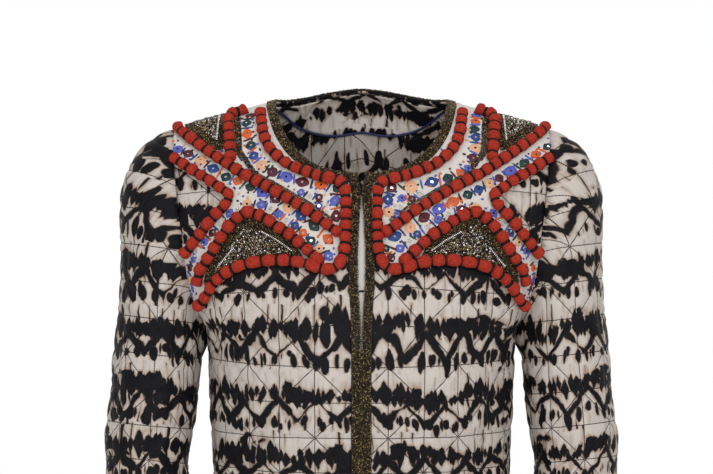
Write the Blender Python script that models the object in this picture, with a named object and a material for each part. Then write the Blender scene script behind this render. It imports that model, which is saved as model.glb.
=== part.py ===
"""A quilted jacket with a mirror-work yoke, open down the front and holding its worn shape.

Metres, Z up. The front faces -Y. The origin is between the shoulders, level with the side neck.
"""

import bpy
import numpy as np
from mathutils import Vector
from mathutils.bvhtree import BVHTree
from mathutils.geometry import delaunay_2d_cdt

for old in list(bpy.data.objects):
    bpy.data.objects.remove(old, do_unlink=True)

# Driving sizes.
WALL = 0.0016  # quilted cloth, through a stitch line
PUFF = 0.0011  # how far a quilted triangle stands out at its middle
QUILT = 0.0362  # pitch of the square quilting lines
QUILT_FRONT = (0.0268, 0.2205)  # where two of the lines cross on a front
QUILT_BACK = (0.0181, -0.2205)
QUILT_SLEEVE = (0.0425, 0.0)
SEAM = 0.0003  # gap between two cut pieces at a seam
LAY = 0.0003  # gap between a piece and the cloth that it lies on
TRIM_WIDTH = 0.007  # beaded edging
TRIM_HIGH = 0.0022
YOKE_THICK = 0.0010
BEADS_HIGH = 0.0022  # bead-filled panels of the yoke
FACING_THICK = 0.0008
CORD_RADIUS = 0.0064  # cloth-wrapped cord, at the middle of a bobble
CORD_WAIST = 0.72  # the same between two bobbles, as a share of it
BOBBLE = 0.0128  # from one binding of the cord to the next
PIPING_RADIUS = 0.0014
SHOULDER_ROW = -0.6  # the shoulder seam lies a little behind the ridge
STRAIGHT_SAG = 0.0011  # an edge that leaves the cloth by more than this is split
HEAD_ROW = 0.017  # a row of points this far below the sleeve head's seam
THIN = 0.45  # a triangle narrower than this share of a full quilted one stays flat

# The body of the jacket, in rows from the back hem over the shoulder to the front hem. Each row
# runs from the middle plane to the armhole or the side seam.
BODY = np.array([
    # row, middle_y, middle_z, edge_x, edge_y, edge_z, round, swell_y, swell_z, drop
    (-9, 0.108, -0.520, 0.160, 0.000, -0.520, 1.00, 0.000, 0.000, 1.0),
    (-8, 0.100, -0.445, 0.153, 0.000, -0.445, 1.00, 0.000, 0.000, 1.0),
    (-7, 0.096, -0.370, 0.149, 0.000, -0.370, 1.00, 0.000, 0.000, 1.0),
    (-6, 0.104, -0.300, 0.152, 0.000, -0.300, 1.00, 0.000, 0.000, 1.0),
    (-5, 0.112, -0.228, 0.154, 0.000, -0.228, 1.00, 0.003, 0.000, 1.0),
    (-4, 0.112, -0.140, 0.167, 0.045, -0.180, 0.90, 0.006, 0.000, 1.0),
    (-3, 0.102, -0.060, 0.177, 0.057, -0.122, 0.70, 0.004, 0.000, 1.1),
    (-2, 0.079, 0.005, 0.185, 0.047, -0.070, 0.45, 0.000, 0.000, 1.3),
    (-1, 0.042, 0.021, 0.189, 0.026, -0.033, 0.20, 0.000, 0.003, 1.5),
    (0, -0.002, 0.012, 0.188, 0.000, -0.020, 0.00, 0.000, 0.002, 1.5),
    (1, -0.036, -0.008, 0.189, -0.025, -0.033, 0.20, 0.000, 0.002, 1.3),
    (2, -0.068, -0.050, 0.186, -0.044, -0.070, 0.45, -0.002, 0.001, 1.1),
    (3, -0.092, -0.105, 0.180, -0.053, -0.122, 0.70, -0.004, 0.000, 1.0),
    (4, -0.110, -0.165, 0.169, -0.042, -0.180, 0.90, -0.007, 0.000, 1.0),
    (5, -0.120, -0.232, 0.154, 0.000, -0.228, 1.00, -0.010, 0.000, 1.0),
    (6, -0.120, -0.300, 0.152, 0.000, -0.300, 1.00, -0.006, 0.000, 1.0),
    (7, -0.110, -0.370, 0.149, 0.000, -0.370, 1.00, 0.000, 0.000, 1.0),
    (8, -0.108, -0.445, 0.153, 0.000, -0.445, 1.00, 0.000, 0.000, 1.0),
    (9, -0.114, -0.520, 0.160, 0.000, -0.520, 1.00, 0.000, 0.000, 1.0),
])
UNDERARM_BACK = (0.004, 0.046, 0.020)  # which way the armhole runs as it leaves the underarm
UNDERARM_FRONT = (-0.004, 0.046, -0.020)  # and as it comes back to it
FINE = 40  # steps in a row's width

# The sleeve's rings: distance below the biceps ring, centre, half width, half depth.
RINGS = np.array([
    # down, x, y, z, half_x, half_y
    (0.000, 0.2065, 0.005, -0.245, 0.0435, 0.056),
    (0.080, 0.2145, 0.001, -0.3245, 0.0425, 0.053),
    (0.160, 0.2220, -0.008, -0.403, 0.0395, 0.049),
    (0.250, 0.2290, -0.026, -0.491, 0.0355, 0.043),
    (0.335, 0.2330, -0.046, -0.574, 0.0325, 0.039),
])
# How the cap leaves the armhole and comes into the biceps ring, at its top, front and underarm.
CAP_LEAVES = np.array([(0.178, 0.0, -0.052), (0.090, -0.030, -0.072), (0.008, 0.0, -0.029)])
CAP_LANDS = np.array([(0.045, -0.006, -0.328), (0.012, -0.004, -0.200), (0.003, 0.0, -0.030)])

# Lines of the front, in metres on the cloth: out from the middle plane, down from the ridge.
NECKLINE = [(0.0875, 0.000), (0.084, 0.027), (0.0775, 0.050), (0.065, 0.072), (0.046, 0.0895),
            (0.024, 0.099), (0.002, 0.103)]
FRONT_GAP = np.array([
    # down, half_gap
    (0.100, 0.0006),
    (0.120, 0.0008),
    (0.150, 0.0022),
    (0.190, 0.0036),
    (0.215, 0.0034),
    (0.240, 0.0022),
    (0.270, 0.0010),
    (0.600, 0.0008),
])
YOKE_LOWER = [(0.018, 0.198), (0.0285, 0.2065), (0.042, 0.2065), (0.058, 0.202), (0.082, 0.1975),
              (0.102, 0.1975), (0.1165, 0.199), (0.1315, 0.204), (0.145, 0.2135), (0.158, 0.226),
              (0.170, 0.2335), (0.186, 0.2335)]
YOKE_NOTCH = [(0.178, 0.163), (0.1675, 0.1525), (0.158, 0.1415), (0.148, 0.130), (0.1405, 0.1205),
              (0.1395, 0.1145), (0.145, 0.109), (0.158, 0.097), (0.1695, 0.0875), (0.181, 0.077)]
BEADS_UPPER = [(0.142, -0.006), (0.160, -0.006), (0.1775, -0.006), (0.1755, 0.0085),
               (0.1705, 0.021), (0.1595, 0.0385), (0.147, 0.054), (0.1415, 0.0575),
               (0.1415, 0.040), (0.142, 0.017)]
BEADS_LOWER = [(0.0615, 0.187), (0.066, 0.177), (0.0775, 0.1665), (0.0875, 0.159), (0.095, 0.152),
               (0.1025, 0.147), (0.114, 0.143), (0.119, 0.1465), (0.127, 0.154), (0.1355, 0.166),
               (0.142, 0.176), (0.152, 0.1885), (0.157, 0.1965), (0.1585, 0.204), (0.153, 0.203),
               (0.1375, 0.192), (0.119, 0.186), (0.102, 0.1845), (0.081, 0.1845)]
CORDS = {
    "neck_cord": [(0.099, 0.006), (0.0975, 0.020), (0.0955, 0.046), (0.0895, 0.066),
                  (0.0765, 0.0845), (0.061, 0.0975), (0.0415, 0.107), (0.028, 0.1125),
                  (0.0195, 0.1185), (0.0165, 0.127), (0.0168, 0.145), (0.0173, 0.165),
                  (0.0185, 0.182), (0.0225, 0.1945), (0.030, 0.2015), (0.041, 0.201),
                  (0.0565, 0.1965), (0.0815, 0.192), (0.102, 0.192), (0.1175, 0.1935),
                  (0.134, 0.199), (0.1485, 0.209), (0.1615, 0.222), (0.172, 0.2285)],
    "leaf_cord": [(0.048, 0.186), (0.061, 0.1715), (0.0725, 0.1605), (0.0825, 0.153),
                  (0.0905, 0.146), (0.0995, 0.140), (0.1135, 0.135), (0.124, 0.1405),
                  (0.1325, 0.149), (0.1415, 0.161), (0.148, 0.171), (0.158, 0.184),
                  (0.1635, 0.1915), (0.167, 0.206)],
    "diagonal_cord": [(0.1855, 0.000), (0.1825, 0.011), (0.177, 0.0245), (0.1655, 0.043),
                      (0.1525, 0.059), (0.138, 0.075), (0.119, 0.092), (0.1015, 0.1045),
                      (0.0855, 0.1155), (0.070, 0.1265), (0.0525, 0.139), (0.037, 0.1525),
                      (0.0295, 0.158)],
    "shoulder_cord": [(0.110, -0.0145), (0.120, -0.0145), (0.129, -0.012), (0.1335, -0.003),
                      (0.134, 0.012), (0.133, 0.033), (0.1315, 0.0605)],
    "outer_cord": [(0.186, 0.0635), (0.1775, 0.073), (0.166, 0.084), (0.1545, 0.0935),
                   (0.1415, 0.1055), (0.1325, 0.114), (0.1345, 0.1235), (0.144, 0.1335),
                   (0.1545, 0.145), (0.164, 0.156), (0.1745, 0.1665), (0.180, 0.171)],
}
# Lines of the back, on one side: out from the middle plane, and back and down from the ridge.
BACK_NECK = [(0.0865, -0.030), (0.080, -0.040), (0.064, -0.0475), (0.040, -0.050), (0.000, -0.050)]
FACING_EDGE = [(0.0905, -0.038), (0.084, -0.062), (0.071, -0.086), (0.052, -0.104), (0.027, -0.116),
               (0.000, -0.120)]


def hermite(h, start, leaves, end, lands):
    """The cubic from start to end that sets out along leaves and comes in along lands."""
    return (
        (2 * h**3 - 3 * h**2 + 1) * start
        + (h**3 - 2 * h**2 + h) * leaves
        + (3 * h**2 - 2 * h**3) * end
        + (h**3 - h**2) * lands
    )


def through(rows, steps, first=None, last=None):
    """A smooth curve through the rows, with this many steps from each to the next."""
    rows = np.asarray(rows, float)
    slopes = np.gradient(rows, axis=0)
    if first is not None:
        slopes[0] = first
    if last is not None:
        slopes[-1] = last
    h = (np.arange(steps) / steps)[:, None]
    spans = [
        hermite(h, rows[k], slopes[k], rows[k + 1], slopes[k + 1]) for k in range(len(rows) - 1)
    ]
    return np.vstack(spans + [rows[-1:]])


def spaced(points, spacing):
    """The smooth curve through the points, as points an even distance apart."""
    curve = through(points, 12)
    run = np.concatenate([[0], np.cumsum(np.linalg.norm(np.diff(curve, axis=0), axis=1))])
    count = max(1, round(run[-1] / spacing))
    at = np.linspace(0, run[-1], count + 1)
    return np.stack([np.interp(at, run, column) for column in curve.T], axis=1)


def unit(vectors):
    return vectors / np.linalg.norm(vectors, axis=-1, keepdims=True)


def beside(line, distance):
    """The line of the flat cloth moved sideways, to the right of the way that it runs as v
    goes down the page."""
    heading = unit(np.gradient(line, axis=0))
    return line + np.stack([-heading[:, 1], heading[:, 0]], axis=1) * distance


# The body's rows on fine steps. The edge column has a corner where the armhole meets the side seam.
ROWS = through(BODY[:, 1:], FINE)
ROWS[:, 2:5] = np.vstack([
    through(BODY[:5, 3:6], FINE)[:-1],
    through(BODY[4:15, 3:6], FINE, UNDERARM_BACK, UNDERARM_FRONT)[:-1],
    through(BODY[14:, 3:6], FINE),
])
T = np.linspace(-9, 9, len(ROWS))
S = np.linspace(0, 1, 101)


def body(s, t):
    """The middle of the body's cloth: s from the middle plane to the edge, t by rows."""
    my, mz, ex, ey, ez, turn, swell_y, swell_z, drop = (
        np.interp(t, T, column) for column in ROWS.T
    )
    across = (1 - turn) * s + turn * np.sin(np.pi * s / 2)
    away = (1 - turn) * s + turn * (1 - np.cos(np.pi * s / 2))
    swell = np.sin(np.pi * s)
    return np.stack([
        ex * across,
        my + (ey - my) * away + swell_y * swell,
        mz + (ez - mz) * np.abs(across) ** drop + swell_z * swell,
    ], axis=-1)


def measure():
    """The length along each fine row, and down the cloth from the ridge."""
    grid = body(S[None, :], T[:, None])
    steps = np.linalg.norm(np.diff(grid, axis=1), axis=2)
    along = np.concatenate([np.zeros((len(T), 1)), np.cumsum(steps, axis=1)], axis=1)
    column = body(np.full(len(T), 0.45), T)
    down = np.concatenate([[0], np.cumsum(np.linalg.norm(np.diff(column, axis=0), axis=1))])
    return along, down - down[len(T) // 2]


ALONG, DOWN = measure()
U_STEP = 0.002
U = np.arange(0, 0.30, U_STEP)


def inverse():
    """For each fine row and each distance out from the middle plane, the s that lies there."""
    table = np.empty((len(T), len(U)))
    for k, along in enumerate(ALONG):
        slope = (1 - S[-6]) / (along[-1] - along[-6])
        beyond = 1 + (U - along[-1]) * slope
        table[k] = np.where(U <= along[-1], np.interp(U, along, S), beyond)
    return table


INVERSE = inverse()


def table_at(table, i, j):
    """The table between its entries."""
    i = np.clip(i, 0, table.shape[0] - 1.001)
    j = np.clip(j, 0, table.shape[1] - 1.001)
    i0 = i.astype(int)
    j0 = j.astype(int)
    a = i - i0
    b = j - j0
    return (1 - a) * ((1 - b) * table[i0, j0] + b * table[i0, j0 + 1]) + a * (
        (1 - b) * table[i0 + 1, j0] + b * table[i0 + 1, j0 + 1]
    )


def body_folds(s, v):
    """How far the body's cloth stands out in its widest folds."""
    inside = np.clip(np.sin(np.pi * np.clip(s, 0, 1)), 0, 1)
    lower = np.clip((np.abs(v) - 0.30) / 0.22, 0, 1)
    hanging = 0.0045 * lower * np.cos(2 * np.pi * s * 2.5)
    armpit = 0.004 * np.exp(-(((s - 0.80) / 0.10) ** 2) - ((v - 0.232) / 0.030) ** 2)
    return inside * (hanging + armpit)


def smooth_body(uv):
    """The body's cloth without its folds, and where it is in s. A point left of the middle
    plane is the mirror of one on the right."""
    u = np.abs(uv[:, 0])
    t = np.interp(uv[:, 1], DOWN, T)
    s = table_at(INVERSE, (t + 9) * FINE, u / U_STEP)
    points = body(s, t)
    points[:, 0] *= np.where(uv[:, 0] < 0, -1, 1)
    return points, s


def normals_of(place, uv):
    """Which way the cloth faces, outwards."""
    step = 0.0005
    du = place(uv + (step, 0)) - place(uv - (step, 0))
    dv = place(uv + (0, step)) - place(uv - (0, step))
    return unit(np.cross(dv, du))


def body_cloth(uv):
    """Points of the body's cloth, from places on the flat cloth."""
    uv = np.asarray(uv, float)
    points, s = smooth_body(uv)
    off_hem = np.stack([uv[:, 0], np.clip(uv[:, 1], DOWN[0] + 0.001, DOWN[-1] - 0.001)], axis=1)
    out = normals_of(lambda at: smooth_body(at)[0], off_hem)
    return points + out * body_folds(s, uv[:, 1])[:, None]


def edge_length(t):
    return np.interp(t, T, ALONG[:, -1])


def down_at(t):
    return np.interp(t, T, DOWN)


def armhole(t):
    return np.stack([np.interp(t, T, ROWS[:, k]) for k in (2, 3, 4)], axis=-1)


def gap_at(v):
    return np.interp(v, FRONT_GAP[:, 0], FRONT_GAP[:, 1])


# The armhole as a loop, and the angle round the sleeve that each of its points belongs to.
LOOP_T = np.linspace(-5, 5, 401)
LOOP_RUN = np.concatenate([[0], np.cumsum(np.linalg.norm(np.diff(armhole(LOOP_T), axis=0), axis=1))])
TOP_RUN = np.interp(0, LOOP_T, LOOP_RUN)
LOOP_ANGLE = np.pi * np.where(
    LOOP_T < 0,
    (LOOP_RUN - TOP_RUN) / TOP_RUN,
    (LOOP_RUN - TOP_RUN) / (LOOP_RUN[-1] - TOP_RUN),
)
RING_LINES = through(RINGS[:, 1:], FINE)
RING_DOWN = through(RINGS[:, :1], FINE)[:, 0]
CUFF = RINGS[-1, 0]


def ring(angle, v):
    """The sleeve below the biceps ring. Angle 0 is its outer side, and a quarter turn its front."""
    x, y, z, half_x, half_y = (np.interp(v, RING_DOWN, column) for column in RING_LINES.T)
    heading = unit(np.stack([np.interp(v, RING_DOWN, np.gradient(column, RING_DOWN))
                             for column in RING_LINES[:, :3].T], axis=-1))
    out = unit(np.array([1.0, 0, 0]) - heading * heading[..., :1])
    front = np.cross(heading, out)
    return (
        np.stack([x, y, z], axis=-1)
        + out * (half_x * np.cos(angle))[..., None]
        + front * (half_y * np.sin(angle))[..., None]
    )


def girth(v):
    half_x, half_y = (np.interp(v, RING_DOWN, column) for column in RING_LINES[:, 3:].T)
    return 2 * np.pi * np.sqrt((half_x**2 + half_y**2) / 2)


def shares(angle, table):
    """The table's top, front and underarm rows, mixed by how near each the angle is."""
    c = np.cos(angle)
    top = ((1 + c) / 2) ** 2
    under = ((1 - c) / 2) ** 2
    mixed = top[..., None] * table[0] + (1 - top - under)[..., None] * table[1]
    mixed = mixed + under[..., None] * table[2]
    mixed[..., 1] *= np.sin(angle)
    return mixed


def cap(angle, h):
    """The sleeve above the biceps ring, from the armhole at h = 0 to the ring at h = 1."""
    start = armhole(np.interp(angle, LOOP_ANGLE, LOOP_T))
    end = ring(angle, np.zeros_like(angle))
    return hermite(h[..., None], start, shares(angle, CAP_LEAVES), end, shares(angle, CAP_LANDS))


ANGLES = np.linspace(-np.pi, np.pi, 181)


def cap_tables():
    """The cap's length at each angle, and h against the share of that length."""
    h = np.linspace(0, 1, 61)
    even = np.linspace(0, 1, 41)
    lengths = np.empty(len(ANGLES))
    table = np.empty((len(ANGLES), len(even)))
    for k, angle in enumerate(ANGLES):
        curve = cap(np.full(len(h), angle), h)
        run = np.concatenate([[0], np.cumsum(np.linalg.norm(np.diff(curve, axis=0), axis=1))])
        lengths[k] = run[-1]
        table[k] = np.interp(even, run / run[-1], h)
    return lengths, table


CAP_LENGTHS, CAP_TABLE = cap_tables()


def cap_length(angle):
    return np.interp(angle, ANGLES, CAP_LENGTHS)


def sleeve_folds(uv):
    """How far the sleeve's cloth stands out in the folds at the elbow."""
    bend = np.exp(-(((uv[:, 1] - 0.15) / 0.085) ** 2))
    return 0.0026 * bend * np.cos(2 * np.pi * (uv[:, 1] + 0.3 * np.abs(uv[:, 0])) / 0.090)


def angle_of(uv):
    angle = -uv[:, 0] * 2 * np.pi / girth(np.maximum(uv[:, 1], 0))
    return (angle + np.pi) % (2 * np.pi) - np.pi


def smooth_sleeve(uv):
    """The sleeve's cloth without its folds."""
    angle = angle_of(uv)
    share = np.clip(1 + uv[:, 1] / cap_length(angle), 0, 1)
    h = table_at(CAP_TABLE, (angle + np.pi) / (2 * np.pi) * (len(ANGLES) - 1), share * 40)
    above = cap(angle, h)
    below = ring(angle, np.clip(uv[:, 1], 0, CUFF))
    return np.where(uv[:, 1:] < 0, above, below)


def sleeve_cloth(uv):
    """Points of the left sleeve's cloth, from places on the flat cloth."""
    uv = np.asarray(uv, float)
    highest = 0.001 - cap_length(angle_of(uv))
    off_ends = np.stack([uv[:, 0], np.clip(uv[:, 1], highest, CUFF - 0.001)], axis=1)
    out = normals_of(smooth_sleeve, off_ends)
    return smooth_sleeve(uv) + out * sleeve_folds(uv)[:, None]


def distance_to(lines, point):
    """From the point to the nearest of the lines."""
    nearest = np.inf
    for line in lines:
        a = line[:-1]
        d = line[1:] - a
        h = np.clip(((point - a) * d).sum(1) / (d * d).sum(1), 0, 1)
        nearest = min(nearest, np.linalg.norm(a + d * h[:, None] - point, axis=1).min())
    return nearest


def inside(polygon, point):
    """Whether the point is inside the polygon."""
    a = polygon
    b = np.roll(polygon, -1, axis=0)
    above = (a[:, 1] > point[1]) != (b[:, 1] > point[1])
    rise = np.where(above, b[:, 1] - a[:, 1], 1)
    crossing = a[:, 0] + (point[1] - a[:, 1]) / rise * (b[:, 0] - a[:, 0])
    return bool(((crossing > point[0]) & above).sum() % 2)


def crosses(lines, p, q):
    """Whether the straight from p to q comes through one of the lines."""
    def side(a, b, c):
        return (b[..., 0] - a[..., 0]) * (c[..., 1] - a[..., 1]) - (b[..., 1] - a[..., 1]) * (
            c[..., 0] - a[..., 0]
        )

    for line in lines:
        a = line[:-1]
        b = line[1:]
        if ((side(a, b, p) * side(a, b, q) < 0) & (side(p, q, a) * side(p, q, b) < 0)).any():
            return True
    return False


class Cut:
    """A cut piece of cloth: flat points, the triangles between them, and its place in space."""

    def __init__(self, place):
        self.place = place
        self.flat = []
        self.lines = []
        self.mitres = {}
        self.welded = {}

    def add(self, points):
        """Adds the points and returns their numbers."""
        first = len(self.flat)
        self.flat.extend(tuple(map(float, p)) for p in points)
        return list(range(first, len(self.flat)))

    def line(self, numbers):
        """Makes the triangles follow the points of these numbers."""
        self.lines.append(list(numbers))
        return np.array([self.flat[n] for n in numbers])

    def lay(self, outline, quilt, plain, clear=0.008):
        """Fills the outline with triangles. The quilting lines cross at quilt = (u, v), and
        inside a plain polygon the points are closer together and without a pattern."""
        border = np.array([self.flat[n] for n in outline + outline[:1]])
        drawn = [np.array([self.flat[n] for n in line]) for line in self.lines] + [border]
        low = border.min(0)
        high = border.max(0)
        edges = [pair for line in self.lines for pair in zip(line, line[1:])]
        nodes = {}
        for i in range(int((low[0] - quilt[0]) / QUILT) - 1, int((high[0] - quilt[0]) / QUILT) + 2):
            for j in range(
                int((low[1] - quilt[1]) / QUILT) - 1, int((high[1] - quilt[1]) / QUILT) + 2
            ):
                at = np.array([quilt[0] + i * QUILT, quilt[1] + j * QUILT])
                if not inside(border[:-1], at) or distance_to(drawn, at) < clear:
                    continue
                if not any(inside(polygon, at) for polygon in plain):
                    nodes[i, j] = self.add([at])[0]
        for polygon in plain:
            low = polygon.min(0)
            high = polygon.max(0)
            for at_u in np.arange(low[0], high[0], QUILT / 2):
                for at_v in np.arange(low[1], high[1], QUILT / 2):
                    at = np.array([at_u, at_v])
                    if inside(polygon, at) and distance_to(drawn, at) > clear * 0.8:
                        self.add([at])
        for (i, j), number in nodes.items():
            steps = [(1, 0), (0, 1)]
            if (i + j) % 2 == 0:
                steps += [(1, 1), (1, -1), (-1, 1), (-1, -1)]
            for step in steps:
                other = nodes.get((i + step[0], j + step[1]))
                if other is None:
                    continue
                if not crosses(drawn, np.array(self.flat[number]), np.array(self.flat[other])):
                    edges.append((number, other))
        found = delaunay_2d_cdt([Vector(p) for p in self.flat], edges, [outline], 1, 1e-7, True)
        origin = [source[0] for source in found[3]]
        self.flat = np.array(self.flat)
        self.triangles = []
        for face in found[2]:
            a, b, c = (origin[n] for n in face)
            p, q, r = self.flat[[a, b, c]]
            if not inside(border[:-1], (p + q + r) / 3):
                continue
            turn = (q[0] - p[0]) * (r[1] - p[1]) - (q[1] - p[1]) * (r[0] - p[0])
            self.triangles.append((a, b, c) if turn > 0 else (a, c, b))

    def one(self, number):
        """The number that stands for this one, where a tube's two sides meet."""
        return self.welded.get(number, number)

    def settle(self):
        """Works out where each flat point is in space, and splits the edges that cut a curve."""
        self.point = self.place(self.flat)
        self.normal = normals_of(self.place, self.flat)
        uses = {}
        for triangle in self.triangles:
            for a, b in zip(triangle, triangle[1:] + triangle[:1]):
                uses.setdefault((min(a, b), max(a, b)), []).append(triangle)
        self.middles = {}
        extra = []
        for (a, b), owners in uses.items():
            if len(owners) < 2:
                continue
            middle = (self.flat[a] + self.flat[b]) / 2
            there = self.place(middle[None])[0]
            if np.linalg.norm(there - (self.point[a] + self.point[b]) / 2) > STRAIGHT_SAG:
                self.middles[a, b] = len(self.flat) + len(extra)
                extra.append(middle)
        if extra:
            extra = np.array(extra)
            self.flat = np.vstack([self.flat, extra])
            self.point = np.vstack([self.point, self.place(extra)])
            self.normal = np.vstack([self.normal, normals_of(self.place, extra)])

    def parts(self, triangle):
        """The triangle as smaller ones, by the points in the middles of its edges."""
        a, b, c = triangle
        ab, bc, ca = (
            self.middles.get((min(p, q), max(p, q))) for p, q in ((a, b), (b, c), (c, a))
        )
        for _ in range(3):
            there = (ab is not None, bc is not None, ca is not None)
            if there in ((True, False, False), (True, True, False)):
                break
            if there in ((True, True, True), (False, False, False)):
                break
            a, b, c, ab, bc, ca = b, c, a, bc, ca, ab
        if ab is None:
            return [(a, b, c)]
        if bc is None:
            return [(a, ab, c), (ab, b, c)]
        if ca is None:
            return [(ab, b, bc), (a, ab, bc), (a, bc, c)]
        return [(a, ab, ca), (ab, b, bc), (ca, bc, c), (ab, bc, ca)]

    def ring_of(self, triangle):
        """The triangle's corners and the middles between them, in order."""
        ring_numbers = []
        for a, b in zip(triangle, triangle[1:] + triangle[:1]):
            ring_numbers.append(a)
            middle = self.middles.get((min(a, b), max(a, b)))
            if middle is not None:
                ring_numbers.append(middle)
        return ring_numbers

    def width(self, triangle):
        """The triangle's height over its longest side."""
        sides = np.diff(self.point[[*triangle, triangle[0]]], axis=0)
        doubled = np.linalg.norm(np.cross(sides[0], sides[1]))
        return doubled / np.linalg.norm(sides, axis=1).max()

    def within(self, polygon):
        """The triangles whose middles are inside the polygon."""
        return [t for t in self.triangles if inside(polygon, self.flat[list(t)].mean(0))]

    def rims(self, triangles):
        """The border of these triangles, as directed edges, and each point's way inwards."""
        edges = sorted((t[k], t[(k + 1) % 3]) for t in triangles for k in range(3))
        directed = {(self.one(a), self.one(b)) for a, b in edges}
        border = []
        for a, b in edges:
            if (self.one(b), self.one(a)) in directed:
                continue
            middle = self.middles.get((min(a, b), max(a, b)))
            border += [(a, b)] if middle is None else [(a, middle), (middle, b)]
        ways = {}
        for a, b in border:
            d = self.flat[b] - self.flat[a]
            left = np.array([-d[1], d[0]]) / np.hypot(*d)
            ways.setdefault(self.one(a), []).append(left)
            ways.setdefault(self.one(b), []).append(left)
        inward = {
            n: sum(found) / max(0.5, 1 + float(found[0] @ found[-1])) for n, found in ways.items()
        }
        return border, inward

    def raised(self, numbers, height, pull, inward):
        """The points at this height off the middle of the cloth, with those of the rim drawn in."""
        places = {n: self.point[n] + self.normal[n] * height for n in numbers}
        rim = [n for n in numbers if n in inward]
        if rim:
            flat = self.flat[rim] + pull * np.array([inward[n] for n in rim])
            points = self.place(flat)
            out = normals_of(self.place, flat)
            for k, n in enumerate(rim):
                places[n] = points[k] + out[k] * height
        for n in rim:
            if n in self.mitres:
                start, out, aside = self.mitres[n]
                places[n] = start + out * height + aside * pull
        return places

    def solid(self, name, triangles, low, high, pull, puffed=()):
        """Makes the triangles a closed piece from one height to another. A puffed triangle's
        middle stands out on the high side."""
        border, inward = self.rims(triangles)
        small = [part for triangle in triangles for part in self.parts(triangle)]
        used = sorted({n for part in small for n in part})
        numbers = sorted({self.one(n) for n in used})
        under = self.raised(numbers, low, pull, inward)
        over = self.raised(numbers, high, pull, inward)
        points = [under[n] for n in numbers] + [over[n] for n in numbers]
        places = {n: k for k, n in enumerate(numbers)}
        index = {n: places[self.one(n)] for n in used}
        count = len(numbers)
        faces = [tuple(index[n] for n in part[::-1]) for part in small]
        quilted = set(puffed)
        for triangle in triangles:
            share = self.width(triangle) / (QUILT * np.sqrt(0.5)) if triangle in quilted else 0.0
            if share < THIN:
                faces += [tuple(index[n] + count for n in part) for part in self.parts(triangle)]
                continue
            around = self.ring_of(triangle)
            lift = high + PUFF * min(1.0, share)
            flat = self.flat[list(triangle)].mean(0)[None]
            top = self.place(flat) + normals_of(self.place, flat) * lift
            points.append(top[0])
            for a, b in zip(around, around[1:] + around[:1]):
                faces.append((index[a] + count, index[b] + count, len(points) - 1))
        faces += [(index[a], index[b], index[b] + count, index[a] + count) for a, b in border]
        return make(name, points, faces)


MATERIALS = {
    # class: colour, roughness, metallic
    "quilted silk": ((0.72, 0.66, 0.60), 0.75, 0.0),
    "yoke cotton": ((0.86, 0.82, 0.76), 0.85, 0.0),
    "red cord": ((0.68, 0.12, 0.07), 0.80, 0.0),
    "bronze beads": ((0.16, 0.12, 0.07), 0.35, 0.7),
    "silver beads": ((0.35, 0.33, 0.30), 0.30, 0.7),
    "navy binding": ((0.03, 0.05, 0.14), 0.70, 0.0),
}


def material(name):
    found = bpy.data.materials.get(name)
    if found is None:
        colour, roughness, metallic = MATERIALS[name]
        found = bpy.data.materials.new(name)
        found.use_nodes = True
        shader = found.node_tree.nodes["Principled BSDF"]
        shader.inputs["Base Color"].default_value = (*colour, 1)
        shader.inputs["Roughness"].default_value = roughness
        shader.inputs["Metallic"].default_value = metallic
    return found


def make(name, points, faces):
    """A mesh object from points and faces that all turn the same way, facing out."""
    points = np.array(points)
    solid_volume = 0.0
    for face in faces:
        for k in range(1, len(face) - 1):
            a, b, c = points[face[0]], points[face[k]], points[face[k + 1]]
            solid_volume += np.dot(a, np.cross(b, c))
    if solid_volume < 0:
        faces = [tuple(face[::-1]) for face in faces]
    mesh = bpy.data.meshes.new(name)
    mesh.from_pydata([tuple(p) for p in points], [], faces)
    mesh.update()
    obj = bpy.data.objects.new(name, mesh)
    bpy.context.scene.collection.objects.link(obj)
    return obj


def finish(obj, kind):
    obj.data.materials.append(material(kind))
    return obj


def mirrored(obj, name):
    """The piece of the other side."""
    points = [(-v.co.x, v.co.y, v.co.z) for v in obj.data.vertices]
    faces = [tuple(polygon.vertices)[::-1] for polygon in obj.data.polygons]
    return make(name, points, faces)


def pair(obj, kind):
    """Finishes a left piece and makes its right one."""
    finish(obj, kind)
    finish(mirrored(obj, obj.name.replace("_left", "_right")), kind)


ARMHOLE_FRONT = np.linspace(SHOULDER_ROW, 5, 16)
ARMHOLE_BACK = np.linspace(-5, SHOULDER_ROW, 13)
SIDE = np.linspace(5, 9, 9)
EDGE_V = np.concatenate([[0.1105, 0.131, 0.150, 0.169, 0.188], np.linspace(0.188, DOWN[-1], 14)[1:]])
SEAM_U = np.concatenate([[0.088, 0.088 + TRIM_WIDTH], np.linspace(0.112, edge_length(SHOULDER_ROW), 6)])
SEAM_V = float(down_at(SHOULDER_ROW))


def mitre_of(t):
    """Where an armhole point is, which way its two walls are mitred, and the way across the seam
    from the body to the sleeve."""
    start = armhole(t)
    along = unit(armhole(min(t + 0.02, 5)) - armhole(max(t - 0.02, -5)))
    edge = np.array([[edge_length(t), down_at(t)]])
    on_body = normals_of(lambda at: smooth_body(at)[0], edge - (0.0008, 0))[0]
    angle = np.interp(t, LOOP_T, LOOP_ANGLE)
    flat = np.array([[-angle * girth(0.0) / (2 * np.pi), 0.0008 - cap_length(angle)]])
    on_sleeve = normals_of(smooth_sleeve, flat)[0]
    out = unit(on_body + on_sleeve)
    reach = 1 / max(0.62, float(out @ on_body))
    aside = unit(np.cross(out, along))
    inside_sleeve = smooth_sleeve(flat + (0, 0.004))[0] - start
    if aside @ inside_sleeve < 0:
        aside = -aside
    return start, out * reach, aside


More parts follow.
